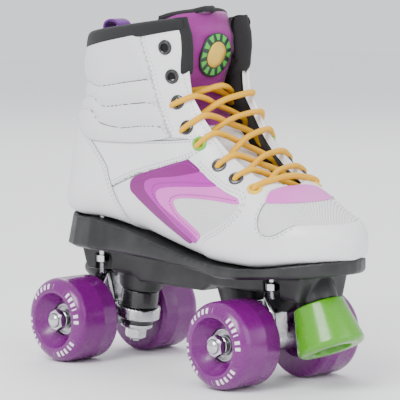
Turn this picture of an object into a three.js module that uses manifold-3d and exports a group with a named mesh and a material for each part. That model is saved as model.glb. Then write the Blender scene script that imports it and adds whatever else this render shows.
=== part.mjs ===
// A quad roller skate for the right foot: a high laced boot on a moulded plastic chassis,
// with two steering trucks, four wheels on ball bearings and a toe stop.
// Millimetres. +X points to the toe, +Y to the inner side of the foot, +Z up, ground at z = 0.
import * as THREE from 'three';
import { mergeVertices } from 'three/addons/utils/BufferGeometryUtils.js';
import Module from 'manifold-3d';

const wasm = await Module();
wasm.setup();

// Running clearance between neighbouring pieces.
const gap = 0.3;

// Wheels, bearings and axles.
const wheelDiameter = 58;
const wheelWidth = 36;
const wheelSides = 24;
const wheelLipRadius = 20.7;
const wheelEdgeDepth = 8.4;
const wheelOuterRecess = 8.6;
const wheelHubLand = 9.5;
const wheelbase = 158;
const track = 113.6;
const bearingDiameter = 22;
const bearingWidth = 7;
const axleDiameter = 8;
const washerThickness = 1.4;
const washerRadius = 6.5;
const axleNutAcross = 13;
const axleNutHeight = 8;
// Heights are measured from the ground under wheels of the standard size.
const axleHeight = 29;

// Trucks: the kingpin stands toward the middle of the skate, the pivot pin toward its end.
const kingpinForward = 25;
const kingpinHeight = 33;
const kingpinTilt = 10;
const kingpinDiameter = 8;
const kingpinBelow = 21;
const kingpinAbove = 40;
const ringRadius = 15.5;
const ringThickness = 8;
const ringBore = 6;
const cushionRadius = 13;
const upperCushionHeight = 12.7;
const lowerCushionHeight = 3.4;
const retainerRadius = 11.5;
const retainerThickness = 3.4;
const kingpinNutAcross = 13;
const kingpinNutHeight = 7;
const pivotBack = 10;
const pivotHeight = 59;
const pivotPinRadius = 5;
const pivotPinReach = 4;
const pivotPinLength = 13;
const pivotCupWall = 2.7;
const pivotCupFloor = 2.2;
const axleTubeRadius = 9;
const hangerReach = 23.3;

// Chassis: a wedge-shaped sole plate over a central block.
const chassisHalfWidth = 20;
const frontBlockHalfWidth = 22;
const soleBoltForward = { rear: -68, front: 98 };
const soleBoltSide = 20.5;
const soleBoltRadius = 2.2;
// The sole bolts end clear of the tops of the wheels.
const soleBoltEnd = axleHeight + wheelDiameter / 2 + 2;
const soleNutAcross = 8;
const soleNutHeight = 4.8;
const soleNutSeat = { rear: 73, front: 69.5 };

// Toe stop.
const stopAhead = 41;
const stopForward = wheelbase / 2 + stopAhead;
const stopHeight = 55.5;
const stopTilt = 24.5;
const stopLength = 31.3;
const stopTopRadius = 17;
const stopBottomRadius = 22.5;
const stopEdge = 4;
const stopRecessRadius = 12.8;
const stopRecessDepth = 9;
const stopBoltRadius = 4;
const stopBoltGrip = 18;

// Boot.
const bootWall = 3.5;
const bootSeat = 0.5;
const liningThickness = 5;
const insoleThickness = 4;
const laceRadius = 2;
const tongueThickness = 6;
const eyeletHole = 2.8;
// How far a flat facet may cut inside a round surface.
const facet = 0.7;

// The boot is a fan of sections, each in a plane across the boot that runs from a point under or
// behind the foot to a point over or before it. Columns: foot-side point x and z, front point
// x and z, half width, place of the widest point along the section, and how square it is there.
const bootSections = [
  [150.5, 88.2, 150.5, 99, 6, 0.5, 2.6],
  [148, 87.8, 148, 105, 14, 0.45, 3],
  [143, 87, 143, 110, 21.5, 0.4, 3.6],
  [135, 85.8, 135, 113.5, 29, 0.38, 4.2],
  [124, 84.2, 124.5, 117.5, 35, 0.36, 4.5],
  [110, 81.6, 111, 124, 39, 0.35, 4.5],
  [92, 79.5, 96, 132, 41, 0.35, 4.5],
  [76, 79.5, 80, 140.5, 41.5, 0.36, 4.5],
  [60, 79.5, 66, 150, 41, 0.38, 4.3],
  [40, 81, 54.5, 161, 40, 0.4, 3.8],
  [14, 85.2, 46, 173, 39.5, 0.42, 3.4],
  [-20, 92.3, 42, 182.5, 39, 0.44, 3.2],
  [-58, 99, 40, 189.5, 38.5, 0.46, 4],
  [-90, 99.6, 39, 195, 38.5, 0.48, 3.8],
  [-105, 103, 38.5, 200, 39, 0.5, 3],
  [-106, 116, 38, 205, 39, 0.5, 2.5],
  [-102.5, 138, 37.5, 210.5, 39, 0.5, 2.5],
  [-96, 162, 37, 216, 39.5, 0.5, 2.5],
  [-85, 182, 36.5, 222, 40, 0.5, 2.5],
  [-84.5, 203, 35, 230, 41, 0.5, 2.5],
  [-80, 222.5, 32, 238, 40, 0.5, 2.5],
  [-79.2, 231.5, 30.6, 245.5, 39, 0.5, 2.5],
];
const collarSection = 20;
const throatSection = 6;
const instepSquareness = 2.7;

// Eyelets, from the top pair down: the section each pair lies on and its distance from the middle.
const eyelets = [
  [18.5, 36],
  [16.1, 32.8],
  [13.3, 31.4],
  [11.05, 33],
  [9.85, 32.5],
  [8.4, 31.5],
  [7.35, 30.3],
  [6.4, 28],
];
const firstLacedEyelet = 2;

const white = () => new THREE.MeshStandardMaterial({ color: 0xf0f0f2, roughness: 0.45, metalness: 0 });
const black = () => new THREE.MeshStandardMaterial({ color: 0x1c1c1e, roughness: 0.6, metalness: 0 });
const rubber = () => new THREE.MeshStandardMaterial({ color: 0x0c0c0c, roughness: 0.35, metalness: 0 });
const purple = () => new THREE.MeshStandardMaterial({ color: 0x9a1ea0, roughness: 0.3, metalness: 0 });
const steel = () => new THREE.MeshStandardMaterial({ color: 0xc8c9cc, roughness: 0.25, metalness: 1 });
const alloy = () => new THREE.MeshStandardMaterial({ color: 0xb9babd, roughness: 0.4, metalness: 1 });
const green = () => new THREE.MeshStandardMaterial({ color: 0x63b40f, roughness: 0.3, metalness: 0 });
const yellow = () => new THREE.MeshStandardMaterial({ color: 0xf5b800, roughness: 0.8, metalness: 0 });

const skate = new THREE.Group();

// Makes a solid from a closed geometry, with its corners shared and its faces outward.
function solid(geometry) {
  const bare = geometry.index ? geometry.toNonIndexed() : geometry.clone();
  bare.deleteAttribute('normal');
  bare.deleteAttribute('uv');
  const merged = mergeVertices(bare, 1e-4);
  const points = merged.attributes.position.array;
  const corners = [];
  let volume = 0;
  for (let i = 0; i < merged.index.count; i += 3) {
    const [a, b, c] = [0, 1, 2].map((k) => merged.index.getX(i + k));
    if (a === b || b === c || a === c) continue;
    corners.push(a, b, c);
    const [p, q, r] = [a, b, c].map((k) => new THREE.Vector3().fromArray(points, 3 * k));
    volume += p.dot(q.cross(r));
  }
  if (volume < 0) corners.reverse();
  return new wasm.Manifold(new wasm.Mesh({
    numProp: 3,
    vertProperties: new Float32Array(points),
    triVerts: new Uint32Array(corners),
  }));
}

// Adds one named piece to the skate.
function piece(name, shape, material) {
  const mesh = shape.getMesh();
  const geometry = new THREE.BufferGeometry();
  geometry.setAttribute('position', new THREE.BufferAttribute(new Float32Array(mesh.vertProperties), 3));
  geometry.setIndex(new THREE.BufferAttribute(new Uint32Array(mesh.triVerts), 1));
  geometry.computeVertexNormals();
  const item = new THREE.Mesh(geometry, material);
  item.name = name;
  skate.add(item);
}

function direction(tilt) {
  const angle = THREE.MathUtils.degToRad(tilt);
  return new THREE.Vector3(Math.sin(angle), 0, Math.cos(angle));
}

// Turns a closed profile of [radius, distance] pairs about an axis from a point.
function turned(profile, sides, origin, axis) {
  const points = profile.map(([radius, along]) => new THREE.Vector2(radius, along));
  const geometry = new THREE.LatheGeometry(points, sides, Math.PI / sides);
  const turn = new THREE.Quaternion().setFromUnitVectors(new THREE.Vector3(0, 1, 0), axis);
  geometry.applyQuaternion(turn);
  geometry.translate(origin.x, origin.y, origin.z);
  return solid(geometry);
}

// A cone or cylinder between two distances along an axis.
function rod(origin, axis, from, to, radius, sides = 16, endRadius = radius) {
  return turned([[0, from], [radius, from], [endRadius, to], [0, to]], sides, origin, axis);
}

// A ring with a square section.
function ring(origin, axis, from, to, inner, outer, sides = 16) {
  const profile = [[inner, from], [outer, from], [outer, to], [inner, to], [inner, from]];
  return turned(profile, sides, origin, axis);
}

// The radius at the corners of a bore whose flats clear a round shaft.
function boreRadius(shaft, sides = 16) {
  return (shaft + gap) / Math.cos(Math.PI / sides);
}

function hexRadius(acrossFlats) {
  return acrossFlats / 2 / Math.cos(Math.PI / 6);
}

// A plate with its outline in the x-z plane, as wide as 2 * half across the skate.
function plate(outline, half, bevel = 0) {
  const shape = new THREE.Shape(outline.map(([x, z]) => new THREE.Vector2(x, z)));
  const geometry = new THREE.ExtrudeGeometry(shape, {
    depth: 2 * (half - bevel),
    bevelEnabled: bevel > 0,
    bevelThickness: bevel,
    bevelSize: bevel,
    bevelOffset: -bevel,
    bevelSegments: 1,
  });
  geometry.rotateX(Math.PI / 2);
  geometry.translate(0, half - bevel, 0);
  return solid(geometry);
}

function block(x0, x1, y0, y1, z0, z1) {
  const geometry = new THREE.BoxGeometry(x1 - x0, y1 - y0, z1 - z0);
  geometry.translate((x0 + x1) / 2, (y0 + y1) / 2, (z0 + z1) / 2);
  return solid(geometry);
}

// Joins rings of equal length into a closed skin with flat ends.
function loft(loops) {
  const size = loops[0].length;
  const positions = [];
  const triangle = (a, b, c) => [a, b, c].forEach((p) => positions.push(p.x, p.y, p.z));
  for (let i = 0; i + 1 < loops.length; i += 1) {
    for (let j = 0; j < size; j += 1) {
      const k = (j + 1) % size;
      triangle(loops[i][j], loops[i][k], loops[i + 1][j]);
      triangle(loops[i][k], loops[i + 1][k], loops[i + 1][j]);
    }
  }
  const ends = [[loops[0], false], [loops[loops.length - 1], true]];
  for (const [loop, last] of ends) {
    const middle = loop.reduce((sum, p) => sum.add(p), new THREE.Vector3()).divideScalar(size);
    for (let j = 0; j < size; j += 1) {
      const k = (j + 1) % size;
      if (last) triangle(loop[j], loop[k], middle);
      else triangle(loop[k], loop[j], middle);
    }
  }
  const geometry = new THREE.BufferGeometry();
  geometry.setAttribute('position', new THREE.Float32BufferAttribute(positions, 3));
  return solid(geometry);
}

// Turns a point or a shape from a truck's own frame, whose +x points to the middle of the skate.
function atTruck(end, point) {
  return new THREE.Vector3(end * (wheelbase / 2 - point.x), -end * point.y, point.z);
}

function aimTruck(end, axis) {
  return new THREE.Vector3(-end * axis.x, -end * axis.y, axis.z);
}

// ---- Wheels, bearings and the hardware on the axles ----

const wheelInnerFace = track / 2 - wheelWidth;
const innerBearingFace = hangerReach + washerThickness + 2 * gap;
const outerBearingFace = track / 2 - wheelOuterRecess;
const axleHalf = outerBearingFace + washerThickness + 2 * gap + axleNutHeight - 2;

function buildWheel() {
  const inner = innerBearingFace - wheelInnerFace;
  const outer = wheelWidth - wheelOuterRecess;
  const seat = boreRadius(bearingDiameter / 2, wheelSides);
  const shoulder = bearingWidth + gap;
  const tread = wheelDiameter / 2 / Math.cos(Math.PI / wheelSides);
  const profile = [
    [seat + 3.5, 0],
    [tread - 4.4, 0],
    [tread - 1.4, 1],
    [tread, 3.4],
    [tread, wheelWidth - wheelEdgeDepth],
    [tread - 1.1, wheelWidth - wheelEdgeDepth / 2.2],
    [tread - 3.6, wheelWidth - wheelEdgeDepth / 5],
    [wheelLipRadius, wheelWidth],
    [wheelLipRadius - 1.8, wheelWidth],
    [seat, outer],
    [seat, outer - shoulder],
    [wheelHubLand, outer - shoulder],
    [wheelHubLand, inner + shoulder],
    [seat, inner + shoulder],
    [seat, inner],
    [seat + 3.5, 0],
  ];
  return profile;
}

function addWheelSet(end, side, label) {
  const centre = new THREE.Vector3(end * wheelbase / 2, 0, axleHeight);
  const outward = new THREE.Vector3(0, side, 0);
  const shaft = axleDiameter / 2;
  const bore = boreRadius(shaft);
  const profile = buildWheel().map(([radius, along]) => [radius, along + wheelInnerFace]);
  piece(`wheel_${label}`, turned(profile, wheelSides, centre, outward), purple());
  const bearings = { inner: innerBearingFace, outer: outerBearingFace - bearingWidth };
  for (const [place, face] of Object.entries(bearings)) {
    const race = ring(centre, outward, face, face + bearingWidth, bore, bearingDiameter / 2);
    piece(`bearing_${place}_${label}`, race, steel());
  }
  const innerWasher = hangerReach + gap;
  const outerWasher = outerBearingFace + gap;
  const washers = { inner: innerWasher, outer: outerWasher };
  for (const [place, face] of Object.entries(washers)) {
    const disc = ring(centre, outward, face, face + washerThickness, bore, washerRadius, 16);
    piece(`axle_washer_${place}_${label}`, disc, steel());
  }
  const seat = outerWasher + washerThickness + gap;
  const hexEnd = seat + axleNutHeight * 0.6;
  const hex = rod(centre, outward, seat, hexEnd, hexRadius(axleNutAcross), 6);
  const cap = turned([
    [0, hexEnd - 1],
    [axleNutAcross / 2 - 0.6, hexEnd - 1],
    [axleNutAcross / 2 - 1, hexEnd + 1],
    [axleNutAcross / 2 - 3, seat + axleNutHeight],
    [0, seat + axleNutHeight + 0.6],
  ], 12, centre, outward);
  const hole = rod(centre, outward, seat - 1, axleHalf + gap, bore);
  piece(`axle_nut_${label}`, hex.add(cap).subtract(hole), steel());
}

// ---- Trucks ----

const kingpinAxis = direction(kingpinTilt);
const ringCentre = new THREE.Vector3(kingpinForward, 0, kingpinHeight);
const pivotTip = new THREE.Vector3(-pivotBack, 0, pivotHeight);
const steerAxis = pivotTip.clone().sub(ringCentre).normalize();
const pivotDistance = pivotTip.distanceTo(ringCentre);
const boreOverKingpin = boreRadius(kingpinDiameter / 2);

function truckPoint(distance) {
  return ringCentre.clone().addScaledVector(steerAxis, distance);
}

function buildHanger(end) {
  const centre = new THREE.Vector3(end * wheelbase / 2, 0, axleHeight);
  const across = new THREE.Vector3(0, 1, 0);
  const ringPlace = atTruck(end, ringCentre);
  const up = aimTruck(end, kingpinAxis);
  const steer = aimTruck(end, steerAxis);
  const tube = rod(centre, across, -hangerReach, hangerReach, axleTubeRadius, 20);
  const eye = rod(ringPlace, up, -ringThickness / 2, ringThickness / 2, ringRadius, 24);
  const flip = (outline) => outline.map(([x, z]) => [end * (wheelbase / 2 - x), z]);
  const ringEdge = kingpinForward - ringRadius + 2;
  const webOutline = [
    [0, axleHeight - 7],
    [ringEdge, kingpinHeight - 1],
    [ringEdge, kingpinHeight + 6],
    [0, axleHeight + 8.6],
  ];
  const root = truckPoint(pivotDistance - 9);
  const armOutline = [
    [-8.4, axleHeight],
    [8.4, axleHeight],
    [6.5, axleHeight + 14],
    [root.x + 4.6, root.z + 6.4],
    [root.x - 4.2, root.z - 6.6],
  ];
  const web = plate(flip(webOutline), 11, 2);
  const arm = plate(flip(armOutline), 8, 2);
  const pinStart = pivotDistance - pivotPinLength;
  const pinEnd = pivotDistance + pivotPinReach;
  const pin = turned([
    [0, pinStart],
    [pivotPinRadius, pinStart],
    [pivotPinRadius, pinEnd - 2.5],
    [pivotPinRadius - 2.2, pinEnd],
    [0, pinEnd],
  ], 16, ringPlace, steer);
  const axleHole = rod(centre, across, -hangerReach - 1, hangerReach + 1, boreRadius(axleDiameter / 2));
  const eyeHole = rod(ringPlace, up, -ringThickness, ringThickness, ringBore, 20);
  return tube.add(eye).add(web).add(arm).add(pin).subtract(axleHole).subtract(eyeHole);
}

function addTruck(end, label) {
  const centre = new THREE.Vector3(end * wheelbase / 2, 0, axleHeight);
  const across = new THREE.Vector3(0, 1, 0);
  const place = atTruck(end, ringCentre);
  const up = aimTruck(end, kingpinAxis);
  const steer = aimTruck(end, steerAxis);
  const half = ringThickness / 2;
  piece(`hanger_${label}`, buildHanger(end), alloy());
  piece(`axle_${label}`, rod(centre, across, -axleHalf, axleHalf, axleDiameter / 2, 16), steel());
  piece(`kingpin_${label}`, rod(place, up, -kingpinBelow, kingpinAbove, kingpinDiameter / 2, 16), steel());
  const topSeat = half + gap;
  const upper = turned([
    [boreOverKingpin, topSeat],
    [cushionRadius, topSeat],
    [cushionRadius, topSeat + upperCushionHeight - 2],
    [cushionRadius - 1.5, topSeat + upperCushionHeight],
    [boreOverKingpin, topSeat + upperCushionHeight],
    [boreOverKingpin, topSeat],
  ], 20, place, up);
  piece(`cushion_upper_${label}`, upper, rubber());
  const lowTop = -half - gap;
  const lowEnd = lowTop - lowerCushionHeight;
  piece(`cushion_lower_${label}`, ring(place, up, lowEnd, lowTop, boreOverKingpin, retainerRadius, 20), rubber());
  const cupTop = lowEnd - gap;
  const cupEnd = cupTop - retainerThickness;
  piece(`retainer_${label}`, ring(place, up, cupEnd, cupTop, boreOverKingpin, retainerRadius, 20), steel());
  const nutTop = cupEnd - gap;
  const nut = rod(place, up, nutTop - kingpinNutHeight, nutTop, hexRadius(kingpinNutAcross), 6);
  const nutHole = rod(place, up, nutTop - kingpinNutHeight - 1, nutTop + 1, boreOverKingpin);
  piece(`kingpin_nut_${label}`, nut.subtract(nutHole), steel());
  const pinHole = boreRadius(pivotPinRadius);
  const cupStart = pivotDistance - 4;
  const pinEnd = pivotDistance + pivotPinReach;
  const cup = turned([
    [pinHole, cupStart],
    [pinHole + pivotCupWall, cupStart],
    [pinHole + pivotCupWall, pinEnd + pivotCupFloor],
    [0, pinEnd + pivotCupFloor],
    [0, pinEnd + gap],
    [pinHole, pinEnd + gap],
    [pinHole, cupStart],
  ], 16, place, steer);
  piece(`pivot_cup_${label}`, cup, rubber());
}

// ---- Boot surface ----

const bootCurve = {
  foot: new THREE.CatmullRomCurve3(bootSections.map((s) => new THREE.Vector3(s[0], 0, s[1])), false, 'centripetal'),
  front: new THREE.CatmullRomCurve3(bootSections.map((s) => new THREE.Vector3(s[2], 0, s[3])), false, 'centripetal'),
};

// A value of one column between two sections.
function between(column, section) {
  const low = Math.min(Math.floor(section), bootSections.length - 2);
  return THREE.MathUtils.lerp(bootSections[low][column], bootSections[low + 1][column], section - low);
}

// A point of the foot-side or front line, moved inward by the inset.
function linePoint(curve, section, inset, inward) {
  const u = section / (bootSections.length - 1);
  const point = curve.getPoint(u);
  const tangent = curve.getTangent(u);
  return point.addScaledVector(new THREE.Vector3(tangent.z * inward, 0, -tangent.x * inward), inset);
}

function sectionFrame(section, inset) {
  const foot = linePoint(bootCurve.foot, section, inset, 1);
  const front = linePoint(bootCurve.front, section, inset, -1);
  return { foot, front, half: between(4, section) - inset, widest: between(5, section), square: between(6, section) };
}

function power(value, exponent) {
  return Math.max(value, 0) ** exponent;
}

// A point at a share of the way round a section: 0 and 1 at the foot side, a half at the front.
function bootPoint(section, turn, inset) {
  const frame = sectionFrame(section, inset);
  const angle = 2 * Math.PI * turn;
  const low = Math.cos(angle) > 0;
  const square = low ? frame.square : instepSquareness;
  const along = low
    ? frame.widest * (1 - power(Math.cos(angle), 2 / square))
    : frame.widest + (1 - frame.widest) * power(-Math.cos(angle), 2 / square);
  const side = Math.sign(Math.sin(angle)) * frame.half * power(Math.abs(Math.sin(angle)), 2 / square);
  const point = frame.foot.clone().lerp(frame.front, along);
  point.y = side;
  return point;
}

// A point on the front of a section at a distance from the middle.
function frontPoint(section, side, inset) {
  const frame = sectionFrame(section, inset);
  const share = Math.min(Math.abs(side) / frame.half, 0.999);
  const rise = power(1 - share ** instepSquareness, 1 / instepSquareness);
  const point = frame.foot.clone().lerp(frame.front, frame.widest + (1 - frame.widest) * rise);
  point.y = side;
  return point;
}

function steps(from, to, count) {
  return Array.from({ length: count + 1 }, (_, i) => from + (to - from) * i / count);
}

const aroundBoot = 24;
const sectionStep = 0.5;

// The sections from one to another, on a grid that every layer of the boot shares.
function sectionsBetween(from, to) {
  return steps(from, to, Math.round((to - from) / sectionStep));
}

function bootSolid(inset, from, to) {
  const turns = steps(0, 1, aroundBoot).slice(0, -1);
  const sections = sectionsBetween(from, to);
  return loft(sections.map((section) => turns.map((turn) => bootPoint(section, turn, inset))));
}

// The laced opening, from its rounded end on the vamp to above the collar.
const throat = [
  [throatSection, 9],
  [throatSection + 0.25, 16.5],
  [throatSection + 0.8, 20.5],
  [8.7, 23.5],
  [10.5, 26],
  [13, 27],
  [15, 27.5],
  [bootSections.length - 1, 29],
];

function throatHalf(section) {
  const next = Math.max(1, throat.findIndex(([s]) => s >= section));
  const [a, b] = [throat[next - 1], throat[next]];
  return a[1] + (b[1] - a[1]) * (section - a[0]) / (b[0] - a[0]);
}

const throatCrown = 3;

// A point over the throat, where lace and tongue run almost straight from edge to edge.
function bridgePoint(section, side, inset) {
  const edge = section < throatSection ? 0 : throatHalf(section);
  if (Math.abs(side) >= edge) return frontPoint(section, side, inset);
  const frame = sectionFrame(section, inset);
  const share = (side / edge) ** 2;
  const outward = frame.front.clone().sub(frame.foot).normalize();
  const point = frontPoint(section, edge, inset).addScaledVector(outward, throatCrown * (1 - share));
  point.y = side;
  return point;
}

function throatCut(extra = 0, depth = 0.72) {
  return loft(throat.map(([section, half]) => {
    const frame = sectionFrame(section, 0);
    const at = (along, side) => frame.foot.clone().lerp(frame.front, along).setY(side * (half + extra));
    return [at(depth, -1), at(1.25, -1), at(1.25, 1), at(depth, 1)];
  }));
}

function bottomLine(x) {
  const samples = steps(0, 14, 112).map((section) => linePoint(bootCurve.foot, section, 0, 1));
  for (let i = 0; i + 1 < samples.length; i += 1) {
    const [a, b] = [samples[i], samples[i + 1]];
    if (x <= a.x && x >= b.x) return THREE.MathUtils.lerp(a.z, b.z, (a.x - x) / (a.x - b.x));
  }
  return x > 0 ? samples[0].z : bootSections[13][1];
}

const soleBolts = [
  ['rear_outer', soleBoltForward.rear, -1, soleNutSeat.rear],
  ['rear_inner', soleBoltForward.rear, 1, soleNutSeat.rear],
  ['front_outer', soleBoltForward.front, -1, soleNutSeat.front],
  ['front_inner', soleBoltForward.front, 1, soleNutSeat.front],
];
const upward = new THREE.Vector3(0, 0, 1);
const boltHeadHeight = 1.8;
const boltHeadRadius = 5;

function boltPlace(x, side) {
  return new THREE.Vector3(x, side * soleBoltSide, 0);
}

function floorHeight(x) {
  return bottomLine(x) + bootWall + 1.1;
}

function buildUpper() {
  let upper = bootSolid(0, 0, collarSection).subtract(bootSolid(bootWall, 1, collarSection + 1));
  upper = upper.subtract(throatCut());
  for (const [section, side] of eyelets) {
    for (const hand of [-1, 1]) {
      const centre = frontPoint(section, hand * side, bootWall / 2);
      const axis = eyeletAxis(section, hand * side);
      upper = upper.subtract(rod(centre, axis, -6, 6, eyeletHole / Math.cos(Math.PI / 8), 8));
    }
  }
  for (const [, x, side] of soleBolts) {
    upper = upper.subtract(rod(boltPlace(x, side), upward, 60, floorHeight(x) + 1, soleBoltRadius + gap + 0.1, 12));
    upper = upper.subtract(rod(boltPlace(x, side), upward, floorHeight(x), floorHeight(x) + 8, boltHeadRadius + 0.6, 12));
  }
  return upper;
}

// The seam between vamp and quarters, a slanted line from the sole up to the instep: x and z.
const vampSeam = [[63, 92], [88, 124]];

// The upper's four pieces: a board under the foot, a vamp over the toes and a quarter on each side.
function addUpper() {
  const upper = buildUpper();
  const xs = steps(-112, 154, 40);
  const boardTop = xs.map((x) => [x, floorHeight(x)]);
  const overBoard = boardTop.map(([x, z]) => [x, z + gap]);
  piece('lasting_board', upper.intersect(plate([...boardTop, [154, 60], [-112, 60]], 60)), white());
  const lasted = upper.intersect(plate([...overBoard, [154, 260], [-112, 260]], 60));
  const [low, high] = vampSeam;
  const slant = (high[0] - low[0]) / (high[1] - low[1]);
  const seamAt = (z, shift) => [low[0] + slant * (z - low[1]) + shift, z];
  const seamShift = gap * Math.hypot(1, slant);
  const ahead = [seamAt(60, seamShift), [240, 60], [240, 200], seamAt(200, seamShift)];
  piece('vamp', lasted.intersect(plate(ahead, 60)), white());
  const quarters = lasted.intersect(plate([seamAt(60, 0), seamAt(260, 0), [-140, 260], [-140, 60]], 60));
  piece('quarter_outer', quarters.intersect(block(-140, 240, -60, -gap / 2, 60, 260)), white());
  piece('quarter_inner', quarters.intersect(block(-140, 240, gap / 2, 60, 60, 260)), white());
}

// The direction out of the boot's wall at an eyelet.
function eyeletAxis(section, side) {
  const outer = frontPoint(section, side, 0);
  const along = frontPoint(section + 0.05, side, 0).sub(frontPoint(section - 0.05, side, 0));
  const over = frontPoint(section, side * 1.02, 0).sub(frontPoint(section, side * 0.98, 0));
  const normal = along.cross(over).normalize();
  const inside = frontPoint(section, side, bootWall * 2).sub(outer);
  return normal.dot(inside) > 0 ? normal.negate() : normal;
}

// ---- Tongue, lining, insole and heel tab ----

const laceStray = 0.6;
const laceRoom = 2 * laceRadius + 2 * gap + 3 * laceStray;
const tongueLap = 1.2;
const tongueEdgeDrop = 12;
const tongueLean = 4;

// How far the tongue lies below the wall's inner face: it dips under the lace, leans back at its
// top and falls away at its edges.
function tongueDepth(section, share) {
  const rise = THREE.MathUtils.smoothstep(section, throatSection - 0.4, throatSection + 0.3);
  const lean = THREE.MathUtils.smoothstep(section, 15, bootSections.length - 1);
  return laceRoom * rise + tongueLean * lean + tongueEdgeDrop * share ** 4;
}

function buildTongue() {
  const shares = steps(-1, 1, 6);
  return loft(sectionsBetween(5, collarSection + 1).map((section) => {
    const rounding = section > collarSection + sectionStep ? 8 : 0;
    const half = throatHalf(Math.max(section, throatSection + 0.8)) + tongueLap - rounding;
    const frame = sectionFrame(section, 0);
    const inward = frame.foot.clone().sub(frame.front).normalize();
    const at = (share, thickness) => {
      const depth = tongueDepth(section, share) + thickness;
      return bridgePoint(section, share * half, bootWall + gap + facet).addScaledVector(inward, depth);
    };
    const top = shares.map((share) => at(share, 0));
    const under = [...shares].reverse().map((share) => at(share * 0.94, tongueThickness));
    return [...top, ...under];
  }));
}

function buildLining() {
  const start = 17;
  const outer = bootSolid(bootWall + gap, start, collarSection + sectionStep);
  const inner = bootSolid(bootWall + gap + liningThickness, start - sectionStep, collarSection + 1);
  return outer.subtract(inner).subtract(throatCut(9, 0.5));
}

function buildInsole() {
  const xs = steps(-99, 140, 24);
  const top = xs.map((x) => [x, floorHeight(x) + gap + insoleThickness]);
  const under = [...xs].reverse().map((x) => [x, floorHeight(x) + gap]);
  let insole = bootSolid(bootWall + 0.6, 1, 17).intersect(plate([...top, ...under], 60));
  for (const [, x, side] of soleBolts) {
    const pocketTop = floorHeight(x) + boltHeadHeight + 2 * gap;
    insole = insole.subtract(rod(boltPlace(x, side), upward, 70, pocketTop, boltHeadRadius + 0.6, 12));
  }
  return insole;
}

// A path of straight runs, with its sections square to the corners.
class Route extends THREE.Curve {
  constructor(points) {
    super();
    this.points = points;
  }

  getPoint(t) {
    const place = t * (this.points.length - 1);
    const low = Math.min(Math.floor(place + 1e-9), this.points.length - 2);
    return this.points[low].clone().lerp(this.points[low + 1], place - low);
  }

  getTangent(t) {
    const at = Math.round(t * (this.points.length - 1));
    const run = (i) => {
      const low = THREE.MathUtils.clamp(i, 0, this.points.length - 2);
      return this.points[low + 1].clone().sub(this.points[low]).normalize();
    };
    return run(at - 1).add(run(at)).normalize();
  }

  getUtoTmapping(u) {
    return u;
  }
}

function swept(outline, points) {
  const shape = new THREE.Shape(outline.map(([x, y]) => new THREE.Vector2(x, y)));
  const settings = { steps: points.length - 1, extrudePath: new Route(points), bevelEnabled: false };
  return solid(new THREE.ExtrudeGeometry(shape, settings));
}

const tabWidth = 12;
const tabThickness = 1.8;

function buildHeelTab() {
  const clear = tabThickness / 2 + gap + 0.3;
  const outside = [19.1, 19.55, 20].map((section) => linePoint(bootCurve.foot, section, -clear, 1));
  const inset = bootWall + gap + liningThickness + clear + facet;
  const inside = [20.5, 20, 19.5].map((section) => linePoint(bootCurve.foot, section, inset, 1));
  const [rim, back] = [inside[0], outside[2]];
  const crest = Math.max(rim.z, back.z) + 8;
  const arch = [
    new THREE.Vector3(back.x + 1, 0, crest - 2.5),
    new THREE.Vector3((rim.x + back.x) / 2, 0, crest),
    new THREE.Vector3(rim.x - 1, 0, crest - 2.5),
  ];
  const outline = [
    [-tabWidth / 2, -tabThickness / 2],
    [tabWidth / 2, -tabThickness / 2],
    [tabWidth / 2, tabThickness / 2],
    [-tabWidth / 2, tabThickness / 2],
  ];
  return swept(outline, [...outside, ...arch, ...inside]);
}

// ---- Lace ----

const outerLace = -(laceRadius + gap);
const innerLace = bootWall + laceRadius + gap + facet;
const overCross = bootWall - 3.2;
const underCross = bootWall + 1.4;

function spot(section, side, inset) {
  return { section, side, inset, point: bridgePoint(section, side, inset) };
}

// The lace at one eyelet: over the edge, down through the hole and back under the edge.
function eyeletRoute(index, hand) {
  const [section, side] = eyelets[index];
  const edge = throatHalf(section) - 1.5;
  const axis = eyeletAxis(section, hand * side);
  const hole = frontPoint(section, hand * side, bootWall / 2);
  const reach = bootWall / 2 + laceRadius + gap;
  const spacing = index + 1 < eyelets.length ? section - eyelets[index + 1][0] : 0.6;
  const over = hole.clone().addScaledVector(axis, reach + 2 * gap);
  const under = hole.clone().addScaledVector(axis, -reach);
  return [
    spot(section - spacing * 0.18, hand * edge, outerLace),
    { section, side: hand * side, inset: outerLace, point: over },
    { section, side: hand * side, inset: innerLace, point: under },
    spot(section + spacing * 0.1, hand * edge, innerLace),
  ];
}

function laceSpots() {
  const bottom = eyelets.length - 1;
  const top = firstLacedEyelet;
  const level = (hand) => (hand > 0 ? overCross : underCross);
  const cross = (a, b, hand) => spot((eyelets[a][0] + eyelets[b][0]) / 2, 0, level(hand));
  const topSection = (eyelets[top][0] + eyelets[top - 1][0]) / 2 - 0.4;
  const tuck = (hand, lift) => [
    spot(topSection + lift, hand * 31, innerLace),
    spot(topSection + lift, hand * throatHalf(topSection), innerLace),
  ];
  const down = [];
  const up = [];
  let hand = 1;
  for (let i = top; i <= bottom; i += 1) {
    down.push(...eyeletRoute(i, hand).reverse());
    up.unshift(...eyeletRoute(i, -hand));
    if (i < bottom) {
      down.push(cross(i, i + 1, hand));
      up.unshift(cross(i, i + 1, -hand));
    }
    hand = -hand;
  }
  const start = [...tuck(-1, 0.35), spot(topSection + 0.1, 0, underCross)];
  const end = [spot(topSection - 0.25, 0, overCross), ...tuck(1, -0.1).reverse()];
  return [...start, ...down, spot(eyelets[bottom][0] - 0.2, 0, outerLace), ...up, ...end];
}

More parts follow.
